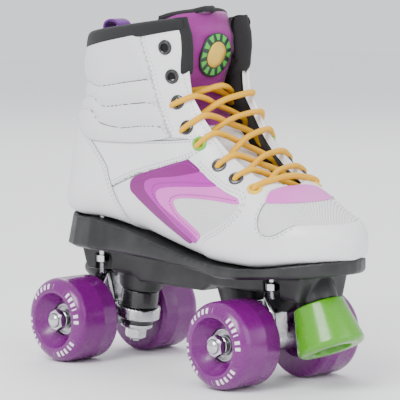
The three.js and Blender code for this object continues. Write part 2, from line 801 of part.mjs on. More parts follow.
// The route's points, with one more wherever a straight run would cut into the boot.
function laceRoute() {
  const spots = laceSpots();
  const points = [spots[0].point];
  for (let i = 1; i < spots.length; i += 1) {
    const [a, b] = [spots[i - 1], spots[i]];
    const middle = bridgePoint((a.section + b.section) / 2, (a.side + b.side) / 2, (a.inset + b.inset) / 2);
    const straight = a.point.clone().lerp(b.point, 0.5);
    const sameHole = a.section === b.section && a.side === b.side;
    if (!sameHole && middle.distanceTo(straight) > laceStray) points.push(middle);
    points.push(b.point);
  }
  return points;
}

function buildLace() {
  const section = steps(0, 1, 8).slice(0, -1).map((turn) => {
    const angle = 2 * Math.PI * turn;
    return [laceRadius * Math.cos(angle), laceRadius * Math.sin(angle)];
  });
  return swept(section, laceRoute());
}

// ---- Chassis ----

// Half width of the sole plate and height of its underside, from the heel to the toe.
const soleStations = [
  [-108, 8, 77],
  [-105.5, 15, 77],
  [-99, 22.3, 77],
  [-87, 28.3, 77],
  [-68, 31.8, 77],
  [-33, 33, 77],
  [0, 34.5, 75.4],
  [27, 37, 74],
  [46, 39.5, 73],
  [65, 41.5, 70.8],
  [85, 42.5, 71.5],
  [106, 41, 73.6],
  [122, 36.2, 75],
  [134, 29.5, 76],
  [143, 20, 77],
  [148, 10.5, 77.6],
  [149.5, 4.5, 77.8],
];
const heelFlare = 2.8;

// The heel's band spreads toward the ground, at the sides and at the back.
function buildSole() {
  return loft(soleStations.map(([x, half, bottom]) => {
    const spread = THREE.MathUtils.smoothstep(-x, -20, 60) * heelFlare;
    const tuck = THREE.MathUtils.smoothstep(-x, 60, 108) * heelFlare;
    const top = bottomLine(x + tuck) - bootSeat;
    const foot = half + spread;
    const side = [
      [foot - 3, x + tuck, bottom],
      [foot, x, bottom + 2],
      [half, x + tuck, top],
    ];
    const right = side.map(([y, at, z]) => new THREE.Vector3(at, y, z));
    const left = [...side].reverse().map(([y, at, z]) => new THREE.Vector3(at, -y, z));
    return [...right, ...left];
  }));
}

const stopAxis = direction(180 - stopTilt);
const stopTop = new THREE.Vector3(stopForward, 0, stopHeight);

function buildChassis() {
  const beam = 57;
  const wing = 61.5;
  const half = wheelbase / 2;
  const rearEnd = -(half + 14);
  const body = plate([
    [rearEnd, 82],
    [-half - 7, wing],
    [-half + 40, wing],
    [-half + 47, beam],
    [half - 49, beam],
    [half - 41, wing],
    [half + 20, wing],
    [half + 24, 76],
    [0, 80],
  ], chassisHalfWidth, 1.5);
  const frontBlock = plate([
    [half + 10, wing],
    [stopForward - 2, 58.5],
    [stopForward + 2, 58.5],
    [stopForward + 7, 78],
    [half + 10, 76],
  ], frontBlockHalfWidth, 1.5);
  const stopBoss = rod(stopTop, stopAxis, -22, -gap, stopTopRadius - 3, 20);
  let chassis = buildSole().add(body).add(frontBlock).add(stopBoss);
  const upper = ringThickness / 2 + gap + upperCushionHeight + gap;
  const cupOuter = boreRadius(pivotPinRadius) + pivotCupWall;
  for (const end of [-1, 1]) {
    const place = atTruck(end, ringCentre);
    const up = aimTruck(end, kingpinAxis);
    const steer = aimTruck(end, steerAxis);
    const notch = [end * (half - 17), end * (half + 12)].sort((a, b) => a - b);
    chassis = chassis.subtract(block(notch[0], notch[1], -12.5, 12.5, 40, 67));
    const mouth = pivotDistance - 5;
    const depth = pivotDistance + pivotPinReach + pivotCupFloor;
    chassis = chassis.add(rod(place, steer, mouth, depth + 3, cupOuter + 3.2, 20));
    chassis = chassis.add(rod(place, up, upper, upper + 26, cushionRadius + 2, 24, cushionRadius + 6));
    chassis = chassis.subtract(rod(place, steer, mouth - 1, depth + gap, boreRadius(cupOuter)));
    chassis = chassis.subtract(rod(place, up, upper - 1, kingpinAbove + gap, boreOverKingpin));
  }
  chassis = chassis.subtract(rod(stopTop, stopAxis, -stopBoltGrip - gap, 1, boreRadius(stopBoltRadius)));
  for (const [, x, side, seat] of soleBolts) {
    const inner = side * (soleBoltSide - 6.5);
    const outer = side * (soleBoltSide + 8);
    const sides = [inner, outer].sort((a, b) => a - b);
    chassis = chassis.subtract(block(x - 8, x + 8, sides[0], sides[1], 50, seat));
    chassis = chassis.subtract(rod(boltPlace(x, side), upward, 50, 110, soleBoltRadius + gap + 0.1, 12));
  }
  return chassis;
}

function addSoleBolts() {
  for (const [label, x, side, seat] of soleBolts) {
    const place = boltPlace(x, side);
    const head = floorHeight(x) + gap;
    const shank = rod(place, upward, soleBoltEnd - (seat === soleNutSeat.front ? 1 : 0), head + 1, soleBoltRadius, 12);
    const cap = rod(place, upward, head, head + boltHeadHeight - gap, boltHeadRadius, 16);
    piece(`sole_bolt_${label}`, shank.add(cap), steel());
    const nut = rod(place, upward, seat - gap - soleNutHeight, seat - gap, hexRadius(soleNutAcross), 6);
    const hole = rod(place, upward, 40, 90, boreRadius(soleBoltRadius, 12), 12);
    piece(`sole_nut_${label}`, nut.subtract(hole), steel());
  }
}

// ---- Toe stop ----

function addToeStop() {
  const recess = stopLength - stopRecessDepth;
  const pad = turned([
    [boreRadius(stopBoltRadius), 0],
    [stopTopRadius, 0],
    [stopBottomRadius, stopLength - stopEdge],
    [stopBottomRadius - stopEdge * 0.3, stopLength - stopEdge * 0.3],
    [stopBottomRadius - stopEdge, stopLength],
    [stopRecessRadius, stopLength],
    [stopRecessRadius - 1, recess],
    [boreRadius(stopBoltRadius), recess],
    [boreRadius(stopBoltRadius), 0],
  ], 28, stopTop, stopAxis);
  piece('toe_stop', pad, green());
  const shank = rod(stopTop, stopAxis, -stopBoltGrip, recess + 2, stopBoltRadius, 16);
  const head = rod(stopTop, stopAxis, recess + gap, recess + gap + 5, hexRadius(13), 6);
  piece('toe_stop_bolt', shank.add(head), steel());
}

// ---- Assembly ----

piece('chassis', buildChassis(), black());
addTruck(-1, 'rear');
addTruck(1, 'front');
addWheelSet(-1, -1, 'rear_outer');
addWheelSet(-1, 1, 'rear_inner');
addWheelSet(1, -1, 'front_outer');
addWheelSet(1, 1, 'front_inner');
addSoleBolts();
addToeStop();
addUpper();
piece('collar_lining', buildLining(), black());
piece('tongue', buildTongue(), purple());
piece('insole', buildInsole(), black());
piece('heel_tab', buildHeelTab(), purple());
piece('shoelace', buildLace(), yellow());

// The origin lies on the ground under the middle of the skate's length.
const extent = new THREE.Box3().setFromObject(skate);
skate.position.x = -(extent.min.x + extent.max.x) / 2;
skate.position.z = wheelDiameter / 2 - axleHeight;

export default skate;
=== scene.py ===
import math

import bpy
from mathutils import Matrix, Vector
from mathutils.bvhtree import BVHTree
from mathutils.kdtree import KDTree


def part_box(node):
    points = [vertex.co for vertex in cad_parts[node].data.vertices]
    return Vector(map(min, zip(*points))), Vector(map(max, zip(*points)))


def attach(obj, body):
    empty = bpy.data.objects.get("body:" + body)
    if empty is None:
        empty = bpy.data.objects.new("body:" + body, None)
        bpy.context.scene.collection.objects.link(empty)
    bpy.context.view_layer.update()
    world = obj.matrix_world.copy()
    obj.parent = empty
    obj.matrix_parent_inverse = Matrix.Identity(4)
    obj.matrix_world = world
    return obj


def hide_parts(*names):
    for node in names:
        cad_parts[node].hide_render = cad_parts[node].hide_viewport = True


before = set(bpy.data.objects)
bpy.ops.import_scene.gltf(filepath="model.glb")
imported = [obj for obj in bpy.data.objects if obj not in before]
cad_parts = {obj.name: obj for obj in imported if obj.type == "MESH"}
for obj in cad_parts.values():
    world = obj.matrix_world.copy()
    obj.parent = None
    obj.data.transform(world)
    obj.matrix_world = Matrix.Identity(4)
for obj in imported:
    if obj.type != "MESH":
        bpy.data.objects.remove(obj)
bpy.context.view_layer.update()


# ---- Where the skate stands ----
# A right-foot quad skate, toe to +X, its outer side to -Y, wheels on the ground.
# Its parts are laid out in millimetres from the middle of the wheelbase, as the maker's patterns are.

def middle_of(node):
    low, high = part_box(node)
    return (low + high) / 2


front_axle = middle_of("axle_front")
rear_axle = middle_of("axle_rear")
wheelbase_middle = (front_axle.x + rear_axle.x) / 2
wheelbase = (front_axle.x - rear_axle.x) * 1000


def skate_point(x, y, z):
    return Vector((wheelbase_middle + x / 1000, y / 1000, z / 1000))


# ---- Camera ----
# A long lens at a little above sole height, to the front of the skate's outer side.
lens = bpy.data.cameras.new("camera")
lens.lens = 252.1
lens.sensor_width = 36
lens.shift_x = 0.0209
lens.shift_y = 0.0526
camera = bpy.data.objects.new("camera", lens)
bpy.context.scene.collection.objects.link(camera)
camera.location = skate_point(1373.6, -1294.8, 316)
aim = skate_point(0, 0, 100) - camera.location
camera.rotation_euler = aim.to_track_quat("-Z", "Y").to_euler()
bpy.context.scene.camera = camera


# ---- Wheels ----
# Four cast urethane wheels, 58 mm across, with a rounded outer shoulder and a coned recess down
# to the bearing. A ring of white bars is printed on the shoulder, and a fine mould seam runs
# round the tread.

class Tone:
    """A value that varies over a surface, so that sums of such values read as sums."""

    def __init__(self, tree, socket):
        self.tree = tree
        self.socket = socket

    def math(self, operation, *others):
        node = self.tree.nodes.new("ShaderNodeMath")
        node.operation = operation
        for entry, value in zip(node.inputs, (self, *others)):
            if isinstance(value, Tone):
                self.tree.links.new(value.socket, entry)
            else:
                entry.default_value = value
        return Tone(self.tree, node.outputs[0])

    def __add__(self, other):
        return self.math("ADD", other)

    def __sub__(self, other):
        return self.math("SUBTRACT", other)

    def __mul__(self, other):
        return self.math("MULTIPLY", other)

    def sine(self):
        return self.math("SINE")

    def size(self):
        return self.math("ABSOLUTE")

    def within(self, low, high, soft):
        """One between the two values and none outside, with soft edges."""
        rising = self.spread(low - soft, low + soft)
        falling = self.spread(high + soft, high - soft)
        return rising * falling

    def spread(self, low, high, new_low=0.0, new_high=1.0):
        """The value stretched from one range to another, and held at its ends."""
        node = self.tree.nodes.new("ShaderNodeMapRange")
        self.tree.links.new(self.socket, node.inputs["Value"])
        limits = {"From Min": low, "From Max": high, "To Min": new_low, "To Max": new_high}
        for name, value in limits.items():
            node.inputs[name].default_value = value
        return Tone(self.tree, node.outputs["Result"])


class Finish:
    """One material: its even values are set on the shader and its varied ones are linked."""

    def __init__(self, name, colour, roughness, **even):
        self.material = bpy.data.materials.new(name)
        self.material.use_nodes = True
        self.material.diffuse_color = (*colour, 1)
        self.tree = self.material.node_tree
        self.shader = self.tree.nodes["Principled BSDF"]
        self.colour = (*colour, 1)
        self.shader.inputs["Base Color"].default_value = self.colour
        self.shader.inputs["Roughness"].default_value = roughness
        for socket, value in even.items():
            self.shader.inputs[socket.replace("_", " ").title().replace("Ior", "IOR")].default_value = value
        self.heights = None

    def place(self, centre=(0, 0, 0), turn=(0, 0, 0)):
        """The x, y and z of a point on the piece, in millimetres from a centre."""
        coordinates = self.tree.nodes.new("ShaderNodeTexCoord")
        mapping = self.tree.nodes.new("ShaderNodeMapping")
        mapping.vector_type = "TEXTURE"
        mapping.inputs["Location"].default_value = centre
        mapping.inputs["Rotation"].default_value = turn
        mapping.inputs["Scale"].default_value = (0.001, 0.001, 0.001)
        split = self.tree.nodes.new("ShaderNodeSeparateXYZ")
        self.tree.links.new(coordinates.outputs["Object"], mapping.inputs["Vector"])
        self.tree.links.new(mapping.outputs["Vector"], split.inputs[0])
        return [Tone(self.tree, output) for output in split.outputs]

    def mottle(self, size, detail=2.0, stretch=(1, 1, 1)):
        """Cloudy noise whose blotches are about so many millimetres across."""
        coordinates = self.tree.nodes.new("ShaderNodeTexCoord")
        mapping = self.tree.nodes.new("ShaderNodeMapping")
        mapping.inputs["Scale"].default_value = [1000 * way / size for way in stretch]
        noise = self.tree.nodes.new("ShaderNodeTexNoise")
        noise.inputs["Scale"].default_value = 1
        noise.inputs["Detail"].default_value = detail
        self.tree.links.new(coordinates.outputs["Object"], mapping.inputs["Vector"])
        self.tree.links.new(mapping.outputs["Vector"], noise.inputs["Vector"])
        return Tone(self.tree, noise.outputs["Fac"])

    def vary(self, socket, tone):
        self.tree.links.new(tone.socket, self.shader.inputs[socket])
        return self

    def tint(self, colour, amount):
        """Mixes another colour over what the surface has so far."""
        mix = self.tree.nodes.new("ShaderNodeMix")
        mix.data_type = "RGBA"
        entry = self.shader.inputs["Base Color"]
        if entry.is_linked:
            self.tree.links.new(entry.links[0].from_socket, mix.inputs[6])
        else:
            mix.inputs[6].default_value = self.colour
        mix.inputs[7].default_value = (*colour, 1)
        self.tree.links.new(amount.socket, mix.inputs[0])
        self.tree.links.new(mix.outputs[2], entry)
        return self

    def relief(self, height, depth):
        """Raises the surface by a height from 0 to 1, in millimetres, on top of any other relief."""
        bump = self.tree.nodes.new("ShaderNodeBump")
        bump.inputs["Strength"].default_value = 1
        bump.inputs["Distance"].default_value = depth / 1000
        self.tree.links.new(height.socket, bump.inputs["Height"])
        entry = self.shader.inputs["Normal"]
        if entry.is_linked:
            self.tree.links.new(entry.links[0].from_socket, bump.inputs["Normal"])
        self.tree.links.new(bump.outputs["Normal"], entry)
        return self


def pick(piece):
    """Leaves only this piece selected, and active."""
    bpy.ops.object.select_all(action="DESELECT")
    piece.select_set(True)
    bpy.context.view_layer.objects.active = piece


def new_piece(name, mesh):
    """A piece in the scene with a mesh of its own."""
    piece = bpy.data.objects.new(name, mesh)
    bpy.context.scene.collection.objects.link(piece)
    return piece


def close_up(piece, weld=0, holes=0):
    """Welds double points, fills holes of up to so many sides and turns every face outward."""
    pick(piece)
    bpy.ops.object.mode_set(mode="EDIT")
    bpy.ops.mesh.select_all(action="SELECT")
    if weld:
        bpy.ops.mesh.remove_doubles(threshold=weld)
    if holes:
        bpy.ops.mesh.fill_holes(sides=holes)
    bpy.ops.mesh.normals_make_consistent(inside=False)
    bpy.ops.object.mode_set(mode="OBJECT")


def use(piece, kind, **settings):
    """Adds a modifier and applies it at once."""
    pick(piece)
    modifier = piece.modifiers.new(kind.lower(), kind)
    for name, value in settings.items():
        setattr(modifier, name, value)
    bpy.ops.object.modifier_apply(modifier=modifier.name)


def soften(piece, angle=30):
    pick(piece)
    bpy.ops.object.shade_smooth_by_angle(angle=math.radians(angle))


def from_points(name, points, edges=(), faces=()):
    """A mesh from points in millimetres."""
    mesh = bpy.data.meshes.new(name)
    mesh.from_pydata([Vector(point) / 1000 for point in points], edges, faces)
    return new_piece(name, mesh)


def aimed(origin, axis):
    """The move that puts a shape made round +Z at an origin, along an axis."""
    turn = Vector((0, 0, 1)).rotation_difference(Vector(axis)).to_matrix().to_4x4()
    return Matrix.Translation(origin) @ turn


def turned(name, profile, origin, axis, sides=96, closed=False, angle=30):
    """Turns a profile of (radius, distance) pairs, in millimetres, about an axis from an origin."""
    count = len(profile)
    edges = [(i, (i + 1) % count) for i in range(count if closed else count - 1)]
    piece = from_points(name, [(radius, 0, along) for radius, along in profile], edges)
    pick(piece)
    bpy.ops.object.mode_set(mode="EDIT")
    bpy.ops.mesh.select_all(action="SELECT")
    bpy.ops.mesh.spin(steps=sides, angle=2 * math.pi, center=(0, 0, 0), axis=(0, 0, 1))
    bpy.ops.mesh.select_all(action="SELECT")
    bpy.ops.mesh.remove_doubles(threshold=0.00001)
    bpy.ops.mesh.normals_make_consistent(inside=False)
    bpy.ops.object.mode_set(mode="OBJECT")
    piece.data.transform(aimed(origin, axis))
    soften(piece, angle)
    return piece


def arc(centre, radii, start, end, count=10):
    """Points of part of an ellipse, with its angles in degrees."""
    angles = [math.radians(start + (end - start) * i / count) for i in range(count + 1)]
    return [(centre[0] + radii[0] * math.cos(a), centre[1] + radii[1] * math.sin(a)) for a in angles]


def finished(piece, finish, body, slot, *nodes):
    """Gives a piece its material and the body it rides on, and hides the solids it stands for. Its slot is
    not used.
    """
    piece.data.materials.clear()
    piece.data.materials.append(finish.material)
    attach(piece, body)
    if nodes:
        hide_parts(*nodes)
    return piece


ends = {"rear": rear_axle, "front": front_axle}
sides = {"outer": -1, "inner": 1}
wheel_radius = middle_of("wheel_front_outer").z * 1000
wheel_faces = [abs(corner.y) * 1000 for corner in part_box("wheel_front_outer")]
wheel_inner_face, wheel_outer_face = min(wheel_faces), max(wheel_faces)
bearing_radius = 11
bearing_width = 7
shoulder_depth = 8.4
recess_depth = 8.6
lip_radius = 20.7


def wheel_profile():
    lip = arc((lip_radius - 0.9, wheel_outer_face - 0.6), (0.9, 0.6), 90, 180, 4)
    shoulder = arc(
        (lip_radius, wheel_outer_face - shoulder_depth),
        (wheel_radius - lip_radius, shoulder_depth), 0, 88, 14,
    )
    inner_round = arc((wheel_radius - 3.4, wheel_inner_face + 3.4), (3.4, 3.4), -90, 0, 8)
    seam = (wheel_inner_face + wheel_outer_face - shoulder_depth) / 2
    ridge = [(wheel_radius, seam - 0.5), (wheel_radius + 0.12, seam), (wheel_radius, seam + 0.5)]
    outer_seat = wheel_outer_face - recess_depth
    inner_seat = wheel_inner_face + 4.8
    bore = bearing_radius + 0.12
    core = [
        (bore + 0.5, outer_seat + 0.1),
        (bore, outer_seat - 0.4),
        (bore, outer_seat - bearing_width),
        (9.5, outer_seat - bearing_width - 0.3),
        (9.5, inner_seat + bearing_width + 0.3),
        (bore, inner_seat + bearing_width),
        (bore, inner_seat),
        (bore + 3.5, wheel_inner_face + 0.4),
        (bore + 4, wheel_inner_face),
    ]
    return [*inner_round, *ridge, *shoulder, *lip, *core]


def urethane(centre):
    finish = Finish("wheel_urethane", (0.14, 0.0, 0.145), 0.22, coat_weight=0.25, coat_roughness=0.12,
                    subsurface_weight=0.05, subsurface_radius=(0.006, 0.001, 0.006))
    across, through, up = finish.place(centre)
    from_axle = (across * across + up * up).math("SQRT")
    turn = up.math("ARCTAN2", across)
    outer_side = through.size().spread(wheel_outer_face - 6, wheel_outer_face - 5)
    band = from_axle.within(21.9, 25.3, 0.12) * outer_side
    bars = (turn * 36).sine().spread(-0.25, 0.1)
    words = (turn * 2 + 0.6).sine().size().spread(0.42, 0.48)
    gaps = (turn * 10 + 1.1).sine().spread(-0.93, -0.88)
    print_amount = band * bars * words * gaps
    scuff = finish.mottle(5, 4).spread(0.45, 0.8)
    finish.tint((0.1, 0.0, 0.1), finish.mottle(22, 3).spread(0.45, 0.75) * 0.35)
    finish.tint((0.82, 0.78, 0.84), print_amount)
    finish.vary("Roughness", scuff * 0.16 + 0.25 + print_amount * 0.2)
    finish.relief(finish.mottle(0.6, 3), 0.02)
    return finish


wheel_pattern = turned("wheel_pattern", wheel_profile(), (0, 0, 0), (0, 0, 1), 128, closed=True)


def fitted_copy(pattern, name, origin, axis):
    """A copy of a pattern made round +Z, with its own mesh, put where it belongs."""
    copy = new_piece(name, pattern.data.copy())
    copy.data.transform(aimed(origin, axis))
    return copy


for end, axle in ends.items():
    for side, hand in sides.items():
        wheel = fitted_copy(wheel_pattern, f"cast_wheel_{end}_{side}", axle, (0, hand, 0))
        finished(wheel, urethane(axle), f"{end}_{side}_wheel", "wheel_urethane", f"wheel_{end}_{side}")
bpy.data.objects.remove(wheel_pattern)


# ---- Bearings ----
# Two shielded ball bearings in each wheel, 22 by 8 by 7 mm: ground races with a pressed steel
# shield set between them.
bearing_profile = [
    (4.05, 0), (10.6, 0), (11, 0.4), (11, 6.6), (10.6, 7), (9.7, 7), (9.5, 6.8), (9.45, 6.55),
    (8.9, 6.55), (8.4, 6.7), (7.2, 6.7), (6.5, 6.55), (6.25, 6.55), (6.15, 6.9), (5.95, 7),
    (4.4, 7), (4.05, 6.7),
]
bearing_pattern = turned("bearing_pattern", bearing_profile, (0, 0, 0), (0, 0, 1), 64, closed=True)
race_steel = Finish("bearing_steel", (0.5, 0.5, 0.51), 0.26, metallic=1.0)
race_steel.tint((0.3, 0.3, 0.31), race_steel.mottle(6, 3).spread(0.4, 0.8))
race_steel.vary("Roughness", race_steel.mottle(3, 4, (1, 6, 1)) * 0.2 + 0.18)
outer_bearing_face = wheel_outer_face - recess_depth
for end, axle in ends.items():
    for side, hand in sides.items():
        faces = {"outer": (outer_bearing_face - bearing_width, hand), "inner": (-(24.9 + 6.7), -hand)}
        for place, (start, way) in faces.items():
            origin = axle + Vector((0, way * start / 1000, 0))
            bearing = fitted_copy(bearing_pattern, f"race_{place}_{end}_{side}", origin, (0, way, 0))
            node = f"bearing_{place}_{end}_{side}"
            low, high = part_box(node)
            corners = bearing.data.vertices
            shift = (low.y + high.y) / 2 - sum(corner.co.y for corner in corners) / len(corners)
            bearing.data.transform(Matrix.Translation((0, shift, 0)))
            finished(bearing, race_steel, f"{end}_{side}_wheel", "bearing_steel", node)
bpy.data.objects.remove(bearing_pattern)


# ---- Axles, washers and nuts ----
# An 8 mm bright axle passes through each hanger. A domed nut with a spring washer holds each
# wheel on, and a thin spacer keeps its inner bearing off the hanger.
bright_steel = Finish("plated_steel", (0.62, 0.62, 0.64), 0.14, metallic=1.0)
bright_steel.tint((0.38, 0.38, 0.4), bright_steel.mottle(4, 4).spread(0.5, 0.85))
bright_steel.vary("Roughness", bright_steel.mottle(2, 5) * 0.2 + 0.08)
bright_steel.relief(bright_steel.mottle(0.4, 2), 0.006)


def hexagonal(name, across, start, end, origin, axis, bore=None, chamfer=0.9):
    """A hexagonal nut or bolt head with the corners of both faces turned off."""
    bpy.ops.object.select_all(action="DESELECT")
    bpy.ops.mesh.primitive_cylinder_add(
        vertices=6, radius=across / 1732, depth=(end - start) / 1000,
        location=(0, 0, (start + end) / 2000),
    )
    nut = bpy.context.active_object
    nut.name = name
    bpy.ops.object.transform_apply(location=True, rotation=True, scale=True)
    corner = across / math.sqrt(3)
    flat = across / 2 - 0.2
    blank_profile = [
        (flat, start), (corner + 0.1, start + chamfer), (corner + 0.1, end - chamfer), (flat, end),
    ]
    inside = bore if bore else 0
    blank_profile = [(inside, start), *blank_profile, (inside, end)]
    blank = turned("blank", blank_profile, (0, 0, 0), (0, 0, 1), 48, closed=bore is not None)
    use(nut, "BOOLEAN", operation="INTERSECT", object=blank, solver="EXACT")
    bpy.data.objects.remove(blank)
    nut.data.transform(aimed(origin, axis))
    soften(nut, 25)
    return nut


def thread(start, end, radius, pitch=1.25, depth=0.55):
    """The outline of a threaded stretch, as grooves and crests."""
    crests = int(abs(end - start) / pitch)
    way = pitch if end > start else -pitch
    outline = []
    for i in range(crests):
        outline += [(radius - depth, start + way * (i + 0.1)), (radius, start + way * (i + 0.6))]
    return outline


def joined(first, *others):
    bpy.ops.object.select_all(action="DESELECT")
    for piece in (first, *others):
        piece.select_set(True)
    bpy.context.view_layer.objects.active = first
    bpy.ops.object.join()
    return first


axle_nut_seat = outer_bearing_face + 2.0
axle_nut_end = 58.8
for end, axle in ends.items():
    low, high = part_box(f"axle_{end}")
    reach = high.y * 1000
    shaft = [(0, -reach), (3.2, -reach), (3.9, -reach + 0.8)]
    shaft += [(3.98, -reach + 8), (3.98, reach - 8), (3.9, reach - 0.8), (3.2, reach), (0, reach)]
    spindle = turned(f"spindle_{end}", shaft, axle, (0, 1, 0), 48)
    finished(spindle, bright_steel, f"{end}_truck", "plated_steel", f"axle_{end}")
    for side, hand in sides.items():
        label = f"{end}_{side}"
        outward = Vector((0, hand, 0))
        hexagon = hexagonal(f"dome_nut_{label}", 13, axle_nut_seat, axle_nut_seat + 4.9, axle, outward)
        dome_foot = axle_nut_seat + 4.5
        collar = [(0, dome_foot - 0.4), (5.7, dome_foot - 0.4), (5.7, dome_foot + 0.5)]
        dome = arc((0, dome_foot + 0.5), (5.2, axle_nut_end - dome_foot - 0.5), 0, 90, 10)
        cap = turned(f"dome_{label}", [*collar, *dome], axle, outward, 48)
        nut = joined(hexagon, cap)
        finished(nut, bright_steel, f"{end}_truck", "plated_steel", f"axle_nut_{label}")
        for place, start in (("outer", outer_bearing_face + 0.3), ("inner", 23.6)):
            disc = [(4.2, start), (6.2, start), (6.5, start + 0.3), (6.5, start + 1.1), (6.2, start + 1.4),
                    (4.2, start + 1.4)]
            washer = turned(f"spacer_{place}_{label}", disc, axle, outward, 48, closed=True)
            node = f"axle_washer_{place}_{label}"
            finished(washer, bright_steel, f"{end}_truck", "plated_steel", node)


# ---- Hangers ----
# One polished alloy casting for each truck: a barrel round the axle, a web out to the ring that
# sits on the kingpin, and an arm up to the pivot pin. Its edges are rounded as a casting's are.
cast_alloy = Finish("truck_alloy", (0.6, 0.6, 0.62), 0.2, metallic=1.0)
cast_alloy.tint((0.36, 0.36, 0.38), cast_alloy.mottle(9, 4).spread(0.45, 0.8))
cast_alloy.vary("Roughness", cast_alloy.mottle(5, 4) * 0.25 + 0.12)
cast_alloy.relief(cast_alloy.mottle(3, 2), 0.12)
cast_alloy.relief(cast_alloy.mottle(0.5, 2), 0.01)


def cast_from(node, name, grain, rounds):
    """A casting or moulding with the node's shape and softly rounded edges."""
    piece = new_piece(name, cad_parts[node].data.copy())
    pick(piece)
    bpy.ops.object.mode_set(mode="EDIT")
    bpy.ops.mesh.select_all(action="SELECT")
    bpy.ops.mesh.remove_doubles(threshold=0.00001)
    bpy.ops.object.mode_set(mode="OBJECT")
    use(piece, "REMESH", mode="VOXEL", voxel_size=grain / 1000)
    use(piece, "SMOOTH", factor=0.5, iterations=rounds)
    pick(piece)
    bpy.ops.object.shade_smooth()
    return piece


for end in ends:
    casting = cast_from(f"hanger_{end}", f"casting_{end}", 0.6, 5)
    finished(casting, cast_alloy, f"{end}_truck", "truck_alloy", f"hanger_{end}")


# ---- Kingpins, cushions and pivot cups ----
# A kingpin stands in the chassis, leaning ten degrees. It carries a tall rubber cushion over the
# hanger's ring and a thin one under it, then a cupped retainer and a nut.
black_urethane = Finish("black_rubber", (0.012, 0.012, 0.013), 0.22, coat_weight=0.3, coat_roughness=0.1)
black_urethane.vary("Roughness", black_urethane.mottle(4, 3) * 0.25 + 0.12)
black_urethane.relief(black_urethane.mottle(0.8, 2), 0.02)
kingpin_lean = math.radians(10)
kingpin_inward = 25
kingpin_rise = 33
cushion_radius = 13
for end, way in (("rear", -1), ("front", 1)):
    ring_centre = skate_point(way * (wheelbase / 2 - kingpin_inward), 0, kingpin_rise)
    axis = Vector((-way * math.sin(kingpin_lean), 0, math.cos(kingpin_lean)))
    shank = [(0, -21), (3.3, -21), *thread(-20.6, -13, 3.9), (3.95, -13), (3.95, 40), (0, 40)]
    kingpin = turned(f"kingpin_bolt_{end}", shank, ring_centre, axis, 40)
    finished(kingpin, bright_steel, "frame", "plated_steel", f"kingpin_{end}")
    barrel = [
        (4.3, 4.3), (cushion_radius - 1, 4.3), *arc((cushion_radius - 1, 5.3), (1, 1), -90, 0, 5),
        (cushion_radius + 0.25, 9.5), (cushion_radius, 13.5),
        *arc((cushion_radius - 1.8, 15.2), (1.8, 1.8), 0, 90, 6), (4.3, 17),
    ]
    cushion = turned(f"barrel_cushion_{end}", barrel, ring_centre, axis, 64, closed=True, angle=40)
    finished(cushion, black_urethane, "frame", "black_rubber", f"cushion_upper_{end}")
    washer = [(4.3, -7.7), (10.9, -7.7), *arc((10.9, -7), (0.7, 0.7), -90, 0, 4),
              *arc((10.9, -5), (0.7, 0.7), 0, 90, 4), (4.3, -4.3)]
    thin_cushion = turned(f"flat_cushion_{end}", washer, ring_centre, axis, 64, closed=True, angle=40)
    finished(thin_cushion, black_urethane, "frame", "black_rubber", f"cushion_lower_{end}")
    cup = [(4.3, -11.4), (8.5, -11.4), *arc((9.5, -9.4), (2, 2), -90, 0, 6), (11.5, -8), (11, -8),
           (10.6, -9), (4.3, -9)]
    retainer = turned(f"cup_washer_{end}", cup, ring_centre, axis, 64, closed=True)
    finished(retainer, bright_steel, "frame", "plated_steel", f"retainer_{end}")
    nut = hexagonal(f"lock_nut_{end}", 13, -18.7, -11.7, ring_centre, axis, bore=4.1)
    finished(nut, bright_steel, "frame", "plated_steel", f"kingpin_nut_{end}")
    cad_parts[f"pivot_cup_{end}"].data.materials[0] = black_urethane.material


# ---- Toe stop ----
# A cone of glossy green rubber on a bolt, leaning forward to the ground, with a round recess in
# its foot for the bolt's head.
stop_rubber = Finish("stop_rubber", (0.07, 0.3, 0.0), 0.25, coat_weight=0.35, coat_roughness=0.12,
                     subsurface_weight=0.04, subsurface_radius=(0.002, 0.006, 0.001))
stop_rubber.tint((0.07, 0.3, 0.004), stop_rubber.mottle(14, 4).spread(0.4, 0.8))
stop_rubber.vary("Roughness", stop_rubber.mottle(3, 4) * 0.3 + 0.12)
stop_rubber.relief(stop_rubber.mottle(2.5, 3), 0.05)
stop_lean = math.radians(180 - 24.5)
stop_top = skate_point(120, 0, 55.5)
stop_axis = Vector((math.sin(stop_lean), 0, math.cos(stop_lean)))
stop_length = 31.3
stop_recess = 12.8
stop_bolt_seat = stop_length - 9
pad = [
    (4.3, 0), (15.4, 0), *arc((15.8, 1.2), (1.2, 1.2), -90, -10, 5),
    (22.4, stop_length - 4.2), *arc((18.9, stop_length - 3.6), (3.6, 3.6), 0, 90, 8),
    *arc((stop_recess + 0.8, stop_length - 0.8), (0.8, 0.8), 90, 180, 4),
    (stop_recess - 0.8, stop_bolt_seat + 0.6), (stop_recess - 1.4, stop_bolt_seat), (4.3, stop_bolt_seat),
]
stop_pad = turned("stop_pad", pad, stop_top, stop_axis, 96, closed=True, angle=35)
finished(stop_pad, stop_rubber, "frame", "stop_rubber", "toe_stop")
stop_shank = turned("stop_shank", [(0, -18), (3.4, -18), *thread(-17.6, -1, 3.95), (3.95, -1),
                                   (3.95, stop_bolt_seat + 1), (0, stop_bolt_seat + 1)],
                    stop_top, stop_axis, 40)
stop_head = hexagonal("stop_head", 13, stop_bolt_seat + 0.4, stop_bolt_seat + 5.2, stop_top, stop_axis)
finished(joined(stop_shank, stop_head), bright_steel, "frame", "plated_steel", "toe_stop_bolt")


